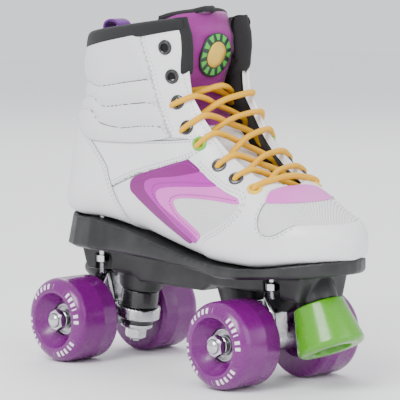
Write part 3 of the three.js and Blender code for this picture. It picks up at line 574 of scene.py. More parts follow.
# ---- Chassis and sole bolts ----
# A wedge-heeled sole plate and a central block, moulded as one in black glass-filled nylon with a
# fine grain. Four bolts come down from inside the boot to small nuts under the plate.
nylon = Finish("chassis_plastic", (0.006, 0.006, 0.0065), 0.5)
nylon.tint((0.034, 0.034, 0.036), nylon.mottle(30, 4).spread(0.4, 0.8))
nylon.vary("Roughness", nylon.mottle(8, 4) * 0.3 + 0.26)
nylon.relief(nylon.mottle(0.9, 3), 0.05)
nylon.relief(nylon.mottle(7, 2), 0.05)
moulding = cast_from("chassis", "moulded_chassis", 0.9, 4)
finished(moulding, nylon, "frame", "chassis_plastic", "chassis")
for end in ends:
    for side in sides:
        label = f"{end}_{side}"
        low, high = (corner * 1000 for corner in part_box(f"sole_bolt_{label}"))
        foot = Vector(((low.x + high.x) / 2, (low.y + high.y) / 2, 0)) / 1000
        head_foot = high.z - 1.5
        pin = [(0, low.z), (1.7, low.z), *thread(low.z + 0.3, low.z + 12, 2.15, 0.8, 0.35),
               (2.15, low.z + 12.5), (2.15, head_foot), (4.9, head_foot), (5, head_foot + 0.5),
               (4.4, high.z - 0.2), (3.8, high.z), (0, high.z)]
        screw = turned(f"sole_screw_{label}", pin, foot, (0, 0, 1), 32)
        finished(screw, bright_steel, "frame", "plated_steel", f"sole_bolt_{label}")
        low, high = (corner * 1000 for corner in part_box(f"sole_nut_{label}"))
        nut = hexagonal(f"plate_nut_{label}", 8, low.z, high.z, foot, (0, 0, 1), bore=2.3, chamfer=0.6)
        finished(nut, bright_steel, "frame", "plated_steel", f"sole_nut_{label}")


# ---- Boot upper ----
# A high boot of smooth white synthetic leather, lasted over a foam lining. Each section of its last
# runs from a point under or behind the foot to one over or before it. Columns: foot-side x and z,
# front x and z, half width, place of the widest point, and how square the section is there.
boot_sections = [
    (150.5, 88.2, 150.5, 99, 6, 0.5, 2.6),
    (148, 87.8, 148, 105, 14, 0.45, 3),
    (143, 87, 143, 110, 21.5, 0.4, 3.6),
    (135, 85.8, 135, 113.5, 29, 0.38, 4.2),
    (124, 84.2, 124.5, 117.5, 35, 0.36, 4.5),
    (110, 81.6, 111, 124, 39, 0.35, 4.5),
    (92, 79.5, 96, 132, 41, 0.35, 4.5),
    (76, 79.5, 80, 140.5, 41.5, 0.36, 4.5),
    (60, 79.5, 66, 150, 41, 0.38, 4.3),
    (40, 81, 54.5, 161, 40, 0.4, 3.8),
    (14, 85.2, 46, 173, 39.5, 0.42, 3.4),
    (-20, 92.3, 42, 182.5, 39, 0.44, 3.2),
    (-58, 99, 40, 189.5, 38.5, 0.46, 4),
    (-90, 99.6, 39, 195, 38.5, 0.48, 3.8),
    (-105, 103, 38.5, 200, 39, 0.5, 3),
    (-106, 116, 38, 205, 39, 0.5, 2.5),
    (-102.5, 138, 37.5, 210.5, 39, 0.5, 2.5),
    (-96, 162, 37, 216, 39.5, 0.5, 2.5),
    (-85, 182, 36.5, 222, 40, 0.5, 2.5),
    (-84.5, 203, 35, 230, 41, 0.5, 2.5),
    (-80, 222.5, 32, 238, 40, 0.5, 2.5),
    (-79.2, 231.5, 30.6, 245.5, 39, 0.5, 2.5),
]
last_section = len(boot_sections) - 1
collar_section = 20
throat_section = 6
instep_square = 2.7
wall = 3.5
# The laced opening: section, and half its width.
throat = [(5.9, 0), (5.93, 5), (6, 9), (6.25, 16.5), (6.8, 20.5), (8.7, 23.5), (10.5, 26), (13, 27),
          (15, 27.5), (21, 29)]


def smooth_through(points, place):
    """A point on a centripetal spline through flat points, at a place counted in points."""
    low = min(int(place), len(points) - 2)
    part = place - low
    before = points[low - 1] if low else points[0] * 2 - points[1]
    after = points[low + 2] if low + 2 < len(points) else points[-1] * 2 - points[-2]
    a, b, c, d = before, points[low], points[low + 1], after
    step = [max((q - p).length, 1e-4) ** 0.5 for p, q in ((a, b), (b, c), (c, d))]
    leave = (b - a) / step[0] - (c - a) / (step[0] + step[1]) + (c - b) / step[1]
    arrive = (c - b) / step[1] - (d - b) / (step[1] + step[2]) + (d - c) / step[2]
    leave, arrive = leave * step[1], arrive * step[1]
    squared, cubed = part * part, part ** 3
    return (b * (2 * cubed - 3 * squared + 1) + c * (3 * squared - 2 * cubed)
            + leave * (cubed - 2 * squared + part) + arrive * (cubed - squared))


foot_line = [Vector((row[0], row[1])) for row in boot_sections]
front_line = [Vector((row[2], row[3])) for row in boot_sections]


def line_point(line, section, inset, inward):
    point = smooth_through(line, section)
    ahead = smooth_through(line, min(section + 0.01, last_section))
    behind = smooth_through(line, max(section - 0.01, 0))
    tangent = (ahead - behind).normalized()
    return point + Vector((tangent.y, -tangent.x)) * inward * inset


def column(number, section):
    low = min(int(section), last_section - 1)
    first, second = boot_sections[low][number], boot_sections[low + 1][number]
    return first + (second - first) * (section - low)


section_store = {}


def boot_section(section, inset):
    key = (round(section, 4), round(inset, 3))
    if key not in section_store:
        section_store[key] = (
            line_point(foot_line, section, inset, 1), line_point(front_line, section, inset, -1),
            column(4, section) - inset, column(5, section), column(6, section),
        )
    return section_store[key]


def in_skate(flat, side):
    """A point of a boot section, in metres in the skate's frame."""
    return skate_point(flat.x, side, flat.y)


def even(share, power):
    """Spaces points evenly along a squarish curve."""
    rise, fall = share ** power, (1 - share) ** power
    return rise / (rise + fall)


def boot_point(section, round_place, inset=0.0):
    """A point on the boot: 0 under the foot, -1 and 1 at the front by the outer and inner side."""
    foot, front, half, widest, square = boot_section(section, inset)
    share = abs(round_place)
    if share < 0.5:
        angle = math.pi / 2 * even(share * 2, square / 2)
        along = widest * (1 - math.cos(angle) ** (2 / square))
        side = math.sin(angle) ** (2 / square)
    else:
        angle = math.pi / 2 * even(share * 2 - 1, instep_square / 2)
        along = widest + (1 - widest) * math.sin(angle) ** (2 / instep_square)
        side = max(math.cos(angle), 0) ** (2 / instep_square)
    return in_skate(foot.lerp(front, along), math.copysign(half * side, round_place))


def front_point(section, side, inset=0.0):
    """A point on the front of a section at a distance from its middle."""
    foot, front, half, widest, _ = boot_section(section, inset)
    share = min(abs(side) / half, 0.999)
    rise = (1 - share ** instep_square) ** (1 / instep_square)
    return in_skate(foot.lerp(front, widest + (1 - widest) * rise), side)


def between(table, place):
    for (start, low), (stop, high) in zip(table, table[1:]):
        if place <= stop:
            return low + (high - low) * max(place - start, 0) / (stop - start)
    return table[-1][1]


def throat_half(section):
    return between(throat, section)


def bridge_point(section, side, inset=0.0):
    """A point over the throat, where lace and tongue run almost straight from edge to edge."""
    edge = 0 if section < throat_section else throat_half(section)
    if abs(side) >= edge:
        return front_point(section, side, inset)
    foot, front, *_ = boot_section(section, inset)
    out = (front - foot).normalized()
    crown = 3 * (1 - (side / edge) ** 2) / 1000
    point = front_point(section, edge, inset) + Vector((out.x, 0, out.y)) * crown
    point.y = side / 1000
    return point


def edge_place(section, inset=0.0):
    """How far round a section the throat's edge lies."""
    opening = throat_half(section)
    if opening <= 0:
        return 1.0
    half = boot_section(section, inset)[2]
    angle = math.acos(min(opening / half, 1) ** (instep_square / 2))
    share = min(angle / (math.pi / 2), 0.9999)
    ratio = (share / (1 - share)) ** (2 / instep_square)
    return (ratio / (1 + ratio) + 1) / 2


def grid_mesh(name, rows):
    """A mesh from rows of points in metres, each as long as the next."""
    width = len(rows[0])
    points = [point for row in rows for point in row]
    faces = [
        (i * width + j, i * width + j + 1, (i + 1) * width + j + 1, (i + 1) * width + j)
        for i in range(len(rows) - 1) for j in range(width - 1)
    ]
    mesh = bpy.data.meshes.new(name)
    mesh.from_pydata(points, [], faces)
    return new_piece(name, mesh)


upper_sections = sorted({i / 10 for i in range(0, 201)} | {5.92, 5.95, 6.04, 6.15, 6.25})
columns_round = 150


def boot_surface(name, inset):
    rows = []
    for share in (0.02, 0.3, 0.6, 0.85):
        rim = [boot_point(0, -1 + 2 * j / columns_round, inset) for j in range(columns_round + 1)]
        middle = sum(rim, Vector()) / len(rim)
        bulge = Vector((0.0012 * (1 - share * share), 0, 0))
        rows.append([middle + (point - middle) * share + bulge for point in rim])
    for section in upper_sections:
        reach = edge_place(section, inset)
        rows.append([
            boot_point(section, reach * (-1 + 2 * j / columns_round), inset)
            for j in range(columns_round + 1)
        ])
    piece = grid_mesh(name, rows)
    pick(piece)
    bpy.ops.object.mode_set(mode="EDIT")
    bpy.ops.mesh.select_all(action="SELECT")
    bpy.ops.mesh.remove_doubles(threshold=0.00004)
    bpy.ops.mesh.select_all(action="DESELECT")
    bpy.ops.mesh.select_non_manifold(extend=False, use_wire=False, use_multi_face=False,
                                     use_non_contiguous=False, use_verts=False)
    bpy.ops.object.mode_set(mode="OBJECT")
    tip_x = max(v.co.x for v in piece.data.vertices) - 0.002
    for edge in piece.data.edges:
        edge.select = edge.select and all(piece.data.vertices[v].co.x > tip_x for v in edge.vertices)
    for vertex in piece.data.vertices:
        vertex.select = False
    for edge in piece.data.edges:
        if edge.select:
            for v in edge.vertices:
                piece.data.vertices[v].select = True
    bpy.ops.object.mode_set(mode="EDIT")
    bpy.ops.mesh.select_mode(type="EDGE")
    bpy.ops.mesh.edge_face_add()
    bpy.ops.mesh.select_mode(type="VERT")
    bpy.ops.mesh.select_all(action="SELECT")
    bpy.ops.mesh.normals_make_consistent(inside=False)
    bpy.ops.object.mode_set(mode="OBJECT")
    out = sum((p.normal.y * p.center.y * p.area for p in piece.data.polygons))
    if out < 0:
        piece.data.flip_normals()
    return piece


def leather(name, colour, roughness=0.36):
    finish = Finish(name, colour, roughness, coat_weight=0.12, coat_roughness=0.25)
    finish.tint([part * 0.93 for part in colour], finish.mottle(26, 3).spread(0.45, 0.75) * 0.5)
    finish.vary("Roughness", finish.mottle(6, 4) * 0.18 + (roughness - 0.08))
    finish.relief(finish.mottle(0.7, 3), 0.035)
    finish.relief(finish.mottle(13, 2), 0.25)
    return finish


white_leather = leather("boot_leather", (0.8, 0.8, 0.815))
black_knit = Finish("lining_knit", (0.008, 0.008, 0.009), 0.9, sheen_weight=0.06, sheen_roughness=0.5)
knit_x, knit_y, knit_z = black_knit.place()
knit_rows = (knit_z * 7.5).sine() * ((knit_x + knit_y) * 7.5).sine()
black_knit.relief(knit_rows * 0.5 + 0.5, 0.12)
black_knit.tint((0.02, 0.02, 0.022), knit_rows.spread(0, 1))
outer_surface = boot_surface("outer_surface", 0)
outer_tree = BVHTree.FromObject(outer_surface, bpy.context.evaluated_depsgraph_get())
upper = outer_surface
upper.name = "lasted_upper"
upper.data.materials.append(white_leather.material)
upper.data.materials.append(black_knit.material)
use(upper, "SOLIDIFY", thickness=wall / 1000, offset=-1, material_offset=1, material_offset_rim=0)
soften(upper, 50)
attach(upper, "frame")
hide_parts("lasting_board", "vamp", "quarter_outer", "quarter_inner")


def on_boot(x, z, hand, lift=0.0):
    """The point of the boot's side at a place along and up, raised off it, and its normal."""
    start = skate_point(x, hand * 90, z)
    place, normal, _, _ = outer_tree.ray_cast(start, Vector((0, -hand, 0)))
    if place is None:
        return None
    if normal.dot(Vector((0, hand, 0))) < 0:
        normal = -normal
    return place + normal * lift / 1000, normal


def rounded(points, closed=True, fineness=6):
    """Smooth points through a given outline of (x, z) pairs."""
    flat = [Vector(point) for point in points]
    if closed:
        flat = [flat[-1], *flat, flat[0], flat[1]]
        first, last = 1, len(points) + 1
    else:
        first, last = 0, len(points) - 1
    return [smooth_through(flat, first + (last - first) * i / (fineness * (last - first)))
            for i in range(fineness * (last - first) + (0 if closed else 1))]


# ---- Stitched overlays ----
# The upper is cut from several skins, sewn one over another: a ribbed collar, an eyestay, an ankle
# strap, a heel counter, a toe and saddle skin with a mesh vamp, and three nested coloured bands
# round a mesh window on each side.

beside_boot = 70
skin_root = 0.7


def overlay(name, outline, lift, finish, smooth=True):
    """A skin laid on both sides of the boot, cut to an outline of (x, z) pairs."""
    skin = boot_surface(name, -lift)
    use(skin, "SOLIDIFY", thickness=(lift + skin_root) / 1000, offset=-1)
    edge = rounded(outline) if smooth else [Vector(point) for point in outline]
    near = [skate_point(point.x, -beside_boot, point.y) for point in edge]
    far = [skate_point(point.x, beside_boot, point.y) for point in edge]
    count = len(edge)
    mesh = bpy.data.meshes.new("cutter")
    walls = [(i, (i + 1) % count, count + (i + 1) % count, count + i) for i in range(count)]
    ends_of_cutter = [tuple(range(count)), tuple(range(2 * count - 1, count - 1, -1))]
    mesh.from_pydata([*near, *far], [], [*ends_of_cutter, *walls])
    cutter = new_piece("cutter", mesh)
    pick(cutter)
    bpy.ops.object.mode_set(mode="EDIT")
    bpy.ops.mesh.select_all(action="SELECT")
    bpy.ops.mesh.quads_convert_to_tris()
    bpy.ops.mesh.normals_make_consistent(inside=False)
    bpy.ops.object.mode_set(mode="OBJECT")
    use(skin, "BOOLEAN", operation="INTERSECT", object=cutter, solver="MANIFOLD")
    bpy.data.objects.remove(cutter)
    soften(skin, 35)
    return finished(skin, finish, "frame", "boot_leather")


# ---- Coloured bands ----
# Three nested skins of magenta, orchid and pink point back from the saddle on each side, round a
# window of sports mesh. Outlines: x ahead of the wheelbase's middle and z, in millimetres.
magenta = leather("band_magenta", (0.2, 0.0, 0.16), 0.3)
orchid = leather("band_orchid", (0.42, 0.008, 0.37), 0.3)
pink = leather("band_pink", (0.7, 0.12, 0.57), 0.34)
band_magenta = [
    (-19, 125.5), (-18, 129), (-14, 132), (10, 139.5), (36.5, 146.5), (37.5, 146.5), (44, 143),
    (47.5, 139.6), (46, 139), (26, 135), (-1, 131), (-4.5, 128.3), (-4.2, 124), (8, 114), (26, 102),
    (41, 93), (39.5, 91.5), (37, 91.5), (28, 95.5), (13, 103), (-3, 112), (-14.5, 119.5), (-18.3, 122.5),
]
band_orchid = [
    (46.5, 139.4), (48, 139.5), (56, 135), (63.5, 131.4), (62, 130.8), (12, 126), (6.8, 122.6),
    (9.8, 116.4), (25, 108), (40, 100), (47.3, 94.6), (46, 93), (43, 92), (41, 93), (26, 102),
    (8, 114), (-4.2, 124), (-4.5, 128.3), (-1, 131), (26, 135),
]
band_pink = [
    (63, 131), (72, 127.5), (83, 124.2), (85.2, 121.6), (84, 121), (59, 122), (27, 120), (24.4, 118),
    (28, 112), (40, 105), (50.8, 98.4), (50, 96), (47.3, 94.6), (40, 100), (25, 108), (9.8, 116.4),
    (6.8, 122.6), (12, 126),
]
window = [
    (85, 121), (84.5, 117.5), (79, 112), (68, 105), (57, 100), (51, 97.5), (40, 105), (28, 112),
    (24.4, 118), (27, 120), (59, 122),
]
overlay("magenta_band", band_magenta, 0.75, magenta)
overlay("orchid_band", band_orchid, 0.6, orchid)
overlay("pink_band", band_pink, 0.45, pink)


def perforated(name, colour, pitch=1.55, hole=0.36):
    """White sports mesh: rows of small round holes, each row set half a pitch along."""
    finish = Finish(name, colour, 0.55, sheen_weight=0.15)
    x, y, z = finish.place()
    along = x * (math.pi / pitch)
    up = (z + y * 0.6) * (math.pi / pitch)
    holes = ((along + up).sine() * (along - up).sine()).size().spread(1 - hole, 1 - hole * 0.45)
    finish.tint([part * 0.42 for part in colour], holes)
    finish.relief(holes.spread(0, 1, 1, 0), 0.35)
    finish.vary("Roughness", finish.mottle(5, 3) * 0.2 + 0.45)
    return finish


sports_mesh = perforated("vamp_mesh", (0.78, 0.78, 0.79))
overlay("window_mesh", window, 0.12, sports_mesh)
toe_edge = [(101.5, 122), (101.5, 119), (102, 113), (104.5, 106), (109, 102.6), (116, 103), (123, 107),
            (127, 109.6), (135, 110.2)]
vamp = [(97, 129), *toe_edge, (158, 110), (158, 150), (97, 150)]
saddle = [
    (37, 147), (44, 143.3), (56, 135.5), (72, 128), (83, 124.6), (85.8, 121.4), (85.2, 117.2),
    (79.5, 111.5), (68.5, 104.4), (57.5, 99.4), (53, 94), (49, 84), (47, 60), (170, 60), (170, 110),
    (158, 110),
    *reversed(toe_edge), (97, 129), (97, 150), (80, 175), (60, 175), (51, 157),
]
overlay("vamp_mesh", vamp, 0.1, sports_mesh, smooth=False)
instep_strip = [(97.5, 129), (101.8, 122.5), (112, 122.5), (130, 122), (130, 150), (97.5, 150)]
overlay("vamp_strip", instep_strip, 0.45, pink, smooth=False)
overlay("saddle_skin", saddle, 0.8, white_leather, smooth=False)
collar_front = [(-8, 231), (-5, 221), (0, 205), (3, 192), (8, 178), (14, 167), (20, 160.5)]
ankle_edge = [(-67, 159), (-57, 155.5), (-17, 156), (36, 160), (46, 162.5)]
counter_edge = [(-130, 172), (-78, 169.5), (-74, 165), (-63, 157), (-52, 148), (-43, 138), (-40, 129),
                (-35, 118), (-30, 108), (-25, 95), (-21, 80)]
quarter_edge = [(-38, 123.5), (-16, 132), (13, 140), (37, 147), (51, 155)]
eyestay = [(-9, 260), *collar_front, (36, 160), (46, 162.5), (90, 168), (90, 260)]
strap = [*quarter_edge, (60, 164), *reversed(ankle_edge), (-74, 165), (-63, 157), (-52, 148), (-43, 138)]
collar = [(-9, 260), *collar_front, (-17, 156), (-57, 155.5), (-67, 159), (-77, 169.3), (-130, 171.6),
          (-130, 260)]
counter = [*counter_edge, (-21, 60), (-140, 60), (-140, 172)]
overlay("eyestay_skin", eyestay, 0.9, white_leather, smooth=False)
overlay("ankle_strap", strap, 0.5, white_leather, smooth=False)
overlay("heel_counter", counter, 0.8, white_leather, smooth=False)

# ---- Padded collar ----
# A finely ribbed skin, padded out between three creases on each side that run forward from the back.
ribbed = Finish("collar_leather", (0.74, 0.74, 0.755), 0.5, sheen_weight=0.1)
rib_x, _, rib_z = ribbed.place()
rib_wave = ((rib_x * 0.55 + rib_z) * 5.2).sine() * ((rib_x * 1.8 - rib_z) * 2.6).sine()
ribbed.tint((0.62, 0.62, 0.64), rib_wave.spread(0.1, 0.9) * 0.6)
ribbed.relief(rib_wave * 0.5 + 0.5, 0.14)
ribbed.relief(ribbed.mottle(9, 2), 0.3)
creases = [
    [(-118, 192), (-90, 192), (-64, 193), (-53, 191), (-22, 195), (-1, 198)],
    [(-118, 181), (-90, 181), (-59, 183), (-47, 178), (-23, 180), (-3, 182), (6, 181)],
    [(-118, 171), (-90, 172), (-60, 174), (-51, 167), (-30, 164), (-9, 166), (10, 166), (17, 161.5)],
]
collar_skin = overlay("collar_skin", collar, 0.7, ribbed, smooth=False)
close_up(collar_skin)
crease_points = [point for line in creases for point in rounded(line, closed=False, fineness=40)]
crease_tree = KDTree(len(crease_points))
for number, point in enumerate(crease_points):
    crease_tree.insert((point.x, point.y, 0), number)
crease_tree.balance()
front_seam = rounded(collar_front, False, 3)
pad_swell = 2.5
crease_width = 2.6
crease_depth = 0.75
rolls = collar_skin.data
normals = [vertex.normal.copy() for vertex in rolls.vertices]
for vertex, normal in zip(rolls.vertices, normals):
    flat = Vector(((vertex.co.x - wheelbase_middle) * 1000, vertex.co.z * 1000))
    nearest = crease_tree.find((flat.x, flat.y, 0))[2]
    swell = pad_swell * (1 - math.exp(-nearest / crease_width)) - crease_depth
    edge_fade = min(max(min((flat - point).length for point in front_seam) / 5, 0), 1)
    if normal.y * vertex.co.y > 0 or abs(normal.x) > 0.6:
        vertex.co += normal * (swell * edge_fade) / 1000


# ---- Collar lining ----
# Black foam-backed knit inside the collar. It rolls over the top edge and down both sides of the
# laced opening as a sewn binding. Columns: section or place across in mm, and depth in mm.
collar_roll = [
    (19.4, -0.3), (19.4, -1.8), (19.52, -2.7), (19.85, -3), (20.15, -2.5), (20.34, -0.6), (20.42, 2),
    (20.46, 4.5), (20.38, 7), (20.1, 9), (19.6, 9.9), (19, 10.2), (18.2, 10.2), (17.4, 9.9), (16.9, 9),
    (16.7, 7.4), (16.8, 5.5), (17.2, 4.4), (18.5, 3.9), (19.3, 3.8),
]
front_roll = [
    (3.4, -0.4), (3.2, -1.6), (2.2, -2.1), (0.6, -2), (-1.2, -1.3), (-3, 0.2), (-4, 2.4), (-4.2, 4.4),
    (-3.2, 6.6), (-0.5, 8.6), (3.5, 9.6), (7, 9.8), (10, 8.6), (11, 6.5), (9, 4.6), (5, 3.9),
]
facing_roll = [
    (-3, 3.9), (-3.2, 4.8), (-2, 6), (1, 6.8), (4, 7), (7, 6.6), (8.5, 5.4), (8.5, 4.2), (5, 3.9), (1, 3.8),
]
collar_rows = []
for j in range(141):
    turn = -1 + 2 * j / 140
    row = []
    for section, inset in collar_roll:
        reach = edge_place(min(section, collar_section), 0) * 0.995
        row.append(boot_point(section, turn * reach, inset))
    collar_rows.append([*row, row[0]])
lining = grid_mesh("padded_lining", collar_rows)
edge_strips = []
for hand, roll, low_end, high_end in (
    (-1, front_roll, 15.5, 20.35), (1, front_roll, 15.5, 20.35),
    (-1, facing_roll, 7, 16.5), (1, facing_roll, 7, 16.5),
):
    rows = []
    for i in range(61):
        section = low_end + (high_end - low_end) * i / 60
        fade = min(max((section - low_end) / 0.8, 0), 1) ** 0.5
        row = []
        for offset, inset in roll:
            middle = 2.6 if roll is front_roll else 4.6
            deep = middle + (inset - middle) * (0.35 + 0.65 * fade)
            reach = min(throat_half(section) + offset, boot_section(section, 0)[2] - deep - 1.5)
            row.append(front_point(section, hand * reach, deep))
        rows.append([*row, row[0]])
    edge_strips.append(grid_mesh("edge_strip", rows))
lining = joined(lining, *edge_strips)
close_up(lining, weld=0.00002)
use(lining, "SUBSURF", levels=1, render_levels=1)
soften(lining, 70)
finished(lining, black_knit, "frame", "lining_fabric", "collar_lining")


# ---- Tongue ----
# A padded tongue under the lace: magenta satin over foam at the top, smooth white leather lower
# down, bound in black all round, with a plain round badge.
tongue_thickness = 6
tongue_lap = 1.2
lace_radius = 2
clearance = 0.3
facet_sag = 0.7
lace_stray = 0.6
lace_room = 2 * lace_radius + 2 * clearance + 3 * lace_stray


def smooth_step(value, low, high):
    share = min(max((value - low) / (high - low), 0), 1)
    return share * share * (3 - 2 * share)


def tongue_point(section, share, depth):
    """A point of the tongue: share of its half width, and depth under its face in millimetres."""
    rise = smooth_step(section, throat_section - 0.4, throat_section + 0.3)
    spring = smooth_step(section, 15, 18)
    edge_drop = 12 - 6 * spring
    sunk = lace_room * rise * (1 - 0.9 * spring) + edge_drop * share ** 4 + depth
    half = throat_half(max(section, throat_section + 0.8)) + tongue_lap
    foot, front, *_ = boot_section(section, 0)
    inward = (foot - front).normalized()
    point = bridge_point(section, share * half, wall + clearance + facet_sag)
    return point + Vector((inward.x, 0, inward.y)) * sunk / 1000


def rounded_share(angle, power):
    return math.copysign(abs(math.cos(angle)) ** power, math.cos(angle))


tongue_rows = []
for i in range(121):
    section = 5 + 16 * i / 120
    close = min(max((section - 20.45) / 0.56, 0), 1)
    plump = math.sqrt(max(1 - close * close, 0.0))
    narrow = 1 - 0.1 * smooth_step(section, 19.9, 21) - 0.02 * close
    row = []
    for k in range(65):
        angle = 2 * math.pi * k / 64
        share = rounded_share(angle, 0.42) * narrow
        rise_share = rounded_share(angle - math.pi / 2, 0.5)
        thick = tongue_thickness / 2 * max(plump, 0.05)
        quilt = 0.35 * math.sin(section * 5.6) * (1 - share * share) if rise_share > 0 else 0
        row.append(tongue_point(section, share, tongue_thickness / 2 - thick * rise_share - quilt * plump))
    tongue_rows.append(row)
tongue = grid_mesh("padded_tongue", tongue_rows)
close_up(tongue, weld=0.00002, holes=80)
soften(tongue, 60)
satin = Finish("tongue_satin", (0.25, 0.0, 0.2), 0.34, sheen_weight=0.3, sheen_roughness=0.35)
_, satin_y, satin_z = satin.place()
satin.relief(((satin_y + satin_z) * 6.5).sine() * ((satin_y - satin_z) * 6.5).sine(), 0.08)
satin.tint((0.8, 0.8, 0.815), satin_z.spread(167.5, 166.5))
satin.vary("Roughness", satin.mottle(9, 3) * 0.2 + 0.28)
satin.relief(satin.mottle(14, 3), 0.7)
finished(tongue, satin, "frame", "tongue_fabric", "tongue")


def tube(name, path, width, height, sides=12, normal_of=None):
    """A cord through points in metres, with an oval section."""
    rows = []
    lift = Vector((0.31, 0.17, 0.93))
    for i, point in enumerate(path):
        ahead = (path[min(i + 1, len(path) - 1)] - path[max(i - 1, 0)]).normalized()
        if normal_of:
            lift = normal_of[i]
        lift = (lift - ahead * lift.dot(ahead)).normalized()
        across = ahead.cross(lift)
        rows.append([
            point + (across * math.cos(turn) * width + lift * math.sin(turn) * height) / 1000
            for turn in (2 * math.pi * k / sides for k in range(sides + 1))
        ])
    piece = grid_mesh(name, rows)
    close_up(piece, weld=0.00001, holes=sides + 2)
    soften(piece, 60)
    return piece


binding_path = [tongue_point(13 + 7.6 * i / 40, -0.99, 3) for i in range(41)]
binding_path += [tongue_point(20.6 + 0.42 * math.sin(math.pi * k / 24) ** 0.5, -0.96 + 1.92 * k / 24, 3)
                 for k in range(1, 24)]
binding_path += [tongue_point(20.6 - 7.6 * i / 40, 0.99, 3) for i in range(41)]
tongue_binding = tube("tongue_binding", binding_path, 1.5, 2.5)
finished(tongue_binding, black_knit, "frame", "lining_fabric")


badge_section = 17.5
badge_shift = 4
section_height = 8.4


def on_tongue(radius, angle, lift):
    """A point at a radius and angle round the badge, raised off the tongue, in millimetres."""
    section = badge_section + radius * math.sin(angle) / section_height
    side = radius * math.cos(angle) + badge_shift
    return tongue_point(section, side / (throat_half(section) + tongue_lap), -lift)


def badge_part(name, radii, lift, colour, rough, metallic):
    rows = [[on_tongue(radius, 2 * math.pi * k / 48, lift) for k in range(49)] for radius in radii]
    piece = grid_mesh(name, rows)
    use(piece, "SOLIDIFY", thickness=0.0012, offset=0)
    use(piece, "BEVEL", width=0.0003, segments=2, limit_method="ANGLE")
    soften(piece, 50)
    return finished(piece, Finish(name, colour, rough, metallic=metallic), "frame", "tongue_fabric")


badge_part("badge_ring", (8.6, 10.5, 12.5, 14.5), 0.9, (0.012, 0.03, 0.02), 0.4, 0)
badge_part("badge_disc", (0.01, 2.8, 5.6, 8.4), 1.1, (0.75, 0.5, 0.08), 0.35, 0.6)
rays = []
for spoke in range(12):
    angle = 2 * math.pi * spoke / 12
    inner_edge = [on_tongue(9.4, angle + turn, 1.6) for turn in (-0.09, 0.09)]
    outer_edge = [on_tongue(13.6, angle + turn, 1.6) for turn in (-0.16, 0.16)]
    rays.append(grid_mesh("ray", [inner_edge, outer_edge]))
ray_piece = joined(*rays)
ray_piece.name = "badge_rays"
use(ray_piece, "SOLIDIFY", thickness=0.0007, offset=0)
finished(ray_piece, Finish("badge_rays", (0.06, 0.42, 0.05), 0.4), "frame", "tongue_fabric")


# ---- Insole ----
# A brushed black foam footbed on the lasting board, cupped a little under the heel.
insole = new_piece("foam_insole", bpy.data.objects["insole"].data.copy())
insole.data.transform(bpy.data.objects["insole"].matrix_world)
use(insole, "REMESH", mode="VOXEL", voxel_size=0.0016)
use(insole, "SMOOTH", factor=0.6, iterations=8)
soften(insole, 60)
foam = Finish("insole_fabric", (0.012, 0.012, 0.013), 0.95, sheen_weight=0.3)
foam.relief(foam.mottle(1.2, 4), 0.2)
finished(insole, foam, "frame", "insole_fabric", "insole")


# ---- Heel tab ----
# A loop of purple webbing sewn to the back of the collar, over its top edge and down inside.
tab_clear = 1.8 / 2 + 0.6
outside = [line_point(foot_line, section, -tab_clear - 1.2, 1) for section in (19.1, 19.3, 19.55, 19.8, 20)]
inside_inset = wall + clearance + 5 + tab_clear + facet_sag + 0.8
inside = [line_point(foot_line, section, inside_inset, 1) for section in (20.5, 20.2, 20, 19.7, 19.5)]
crest = max(inside[0].y, outside[-1].y) + 8
arch = [
    Vector((outside[-1].x + 0.6, crest - 3)),
    Vector(((inside[0].x + outside[-1].x) / 2, crest - 0.4)),
    Vector((inside[0].x - 0.6, crest - 3)),
]
loop = [*outside, *arch, *inside]
loop = [smooth_through(loop, (len(loop) - 1) * i / 60) for i in range(61)]
tab_rows = [[skate_point(point.x, -6 + 12 * k / 8, point.y) for k in range(9)] for point in loop]
tab = grid_mesh("heel_tab_webbing", tab_rows)
use(tab, "SOLIDIFY", thickness=0.0018, offset=0)
use(tab, "BEVEL", width=0.0005, segments=2, limit_method="ANGLE")
soften(tab, 50)
webbing = Finish("tab_webbing", (0.11, 0.002, 0.2), 0.75, sheen_weight=0.2)
web_x, web_y, web_z = webbing.place()
webbing.relief((web_y * 4.2).sine() * ((web_z + web_x) * 3.1).sine() * 0.5 + 0.5, 0.3)
finished(tab, webbing, "frame", "tab_webbing", "heel_tab")


# ---- Eyelets ----
# Rolled rings along both edges of the opening, from the top down. The two top pairs are empty, and
# the lace runs through the other six. Columns: section, and distance from the middle.
eyelets = [
    (18.5, 36), (16.1, 32.8), (13.3, 31.4), (11.05, 33), (9.85, 32.5), (8.4, 31.5), (7.35, 30.3),
    (6.4, 28),
]
black_enamel = Finish("eyelet_black", (0.01, 0.01, 0.011), 0.25, coat_weight=0.5)
green_enamel = Finish("eyelet_green", (0.13, 0.42, 0.01), 0.25, coat_weight=0.5)
gunmetal = Finish("eyelet_gunmetal", (0.09, 0.09, 0.1), 0.3, metallic=0.9)
gold_enamel = Finish("eyelet_gold", (0.8, 0.5, 0.02), 0.3, coat_weight=0.4)
# Painted shade, partly the black lining: a near-black matte finish for the discs that stand for the
# eyelets' holes.
eyelet_lining_and_shade = Finish("eyelet_lining_and_shade", (0.004, 0.004, 0.004), 0.95)
eyelet_profile = [(2.3, -3.9), (2.5, 1.2), (2.9, 1.9), (3.6, 2.15), (4.4, 1.9), (5, 1.2), (5, 0.2)]
eyelet_finish = [black_enamel] * 4 + [green_enamel, gunmetal, gunmetal, gold_enamel]


def eyelet_axis(section, side):
    along = front_point(section + 0.05, side) - front_point(section - 0.05, side)
    over = front_point(section, side * 1.02) - front_point(section, side * 0.98)
    normal = along.cross(over).normalized()
    inside_way = front_point(section, side, wall * 2) - front_point(section, side)
    return -normal if normal.dot(inside_way) > 0 else normal


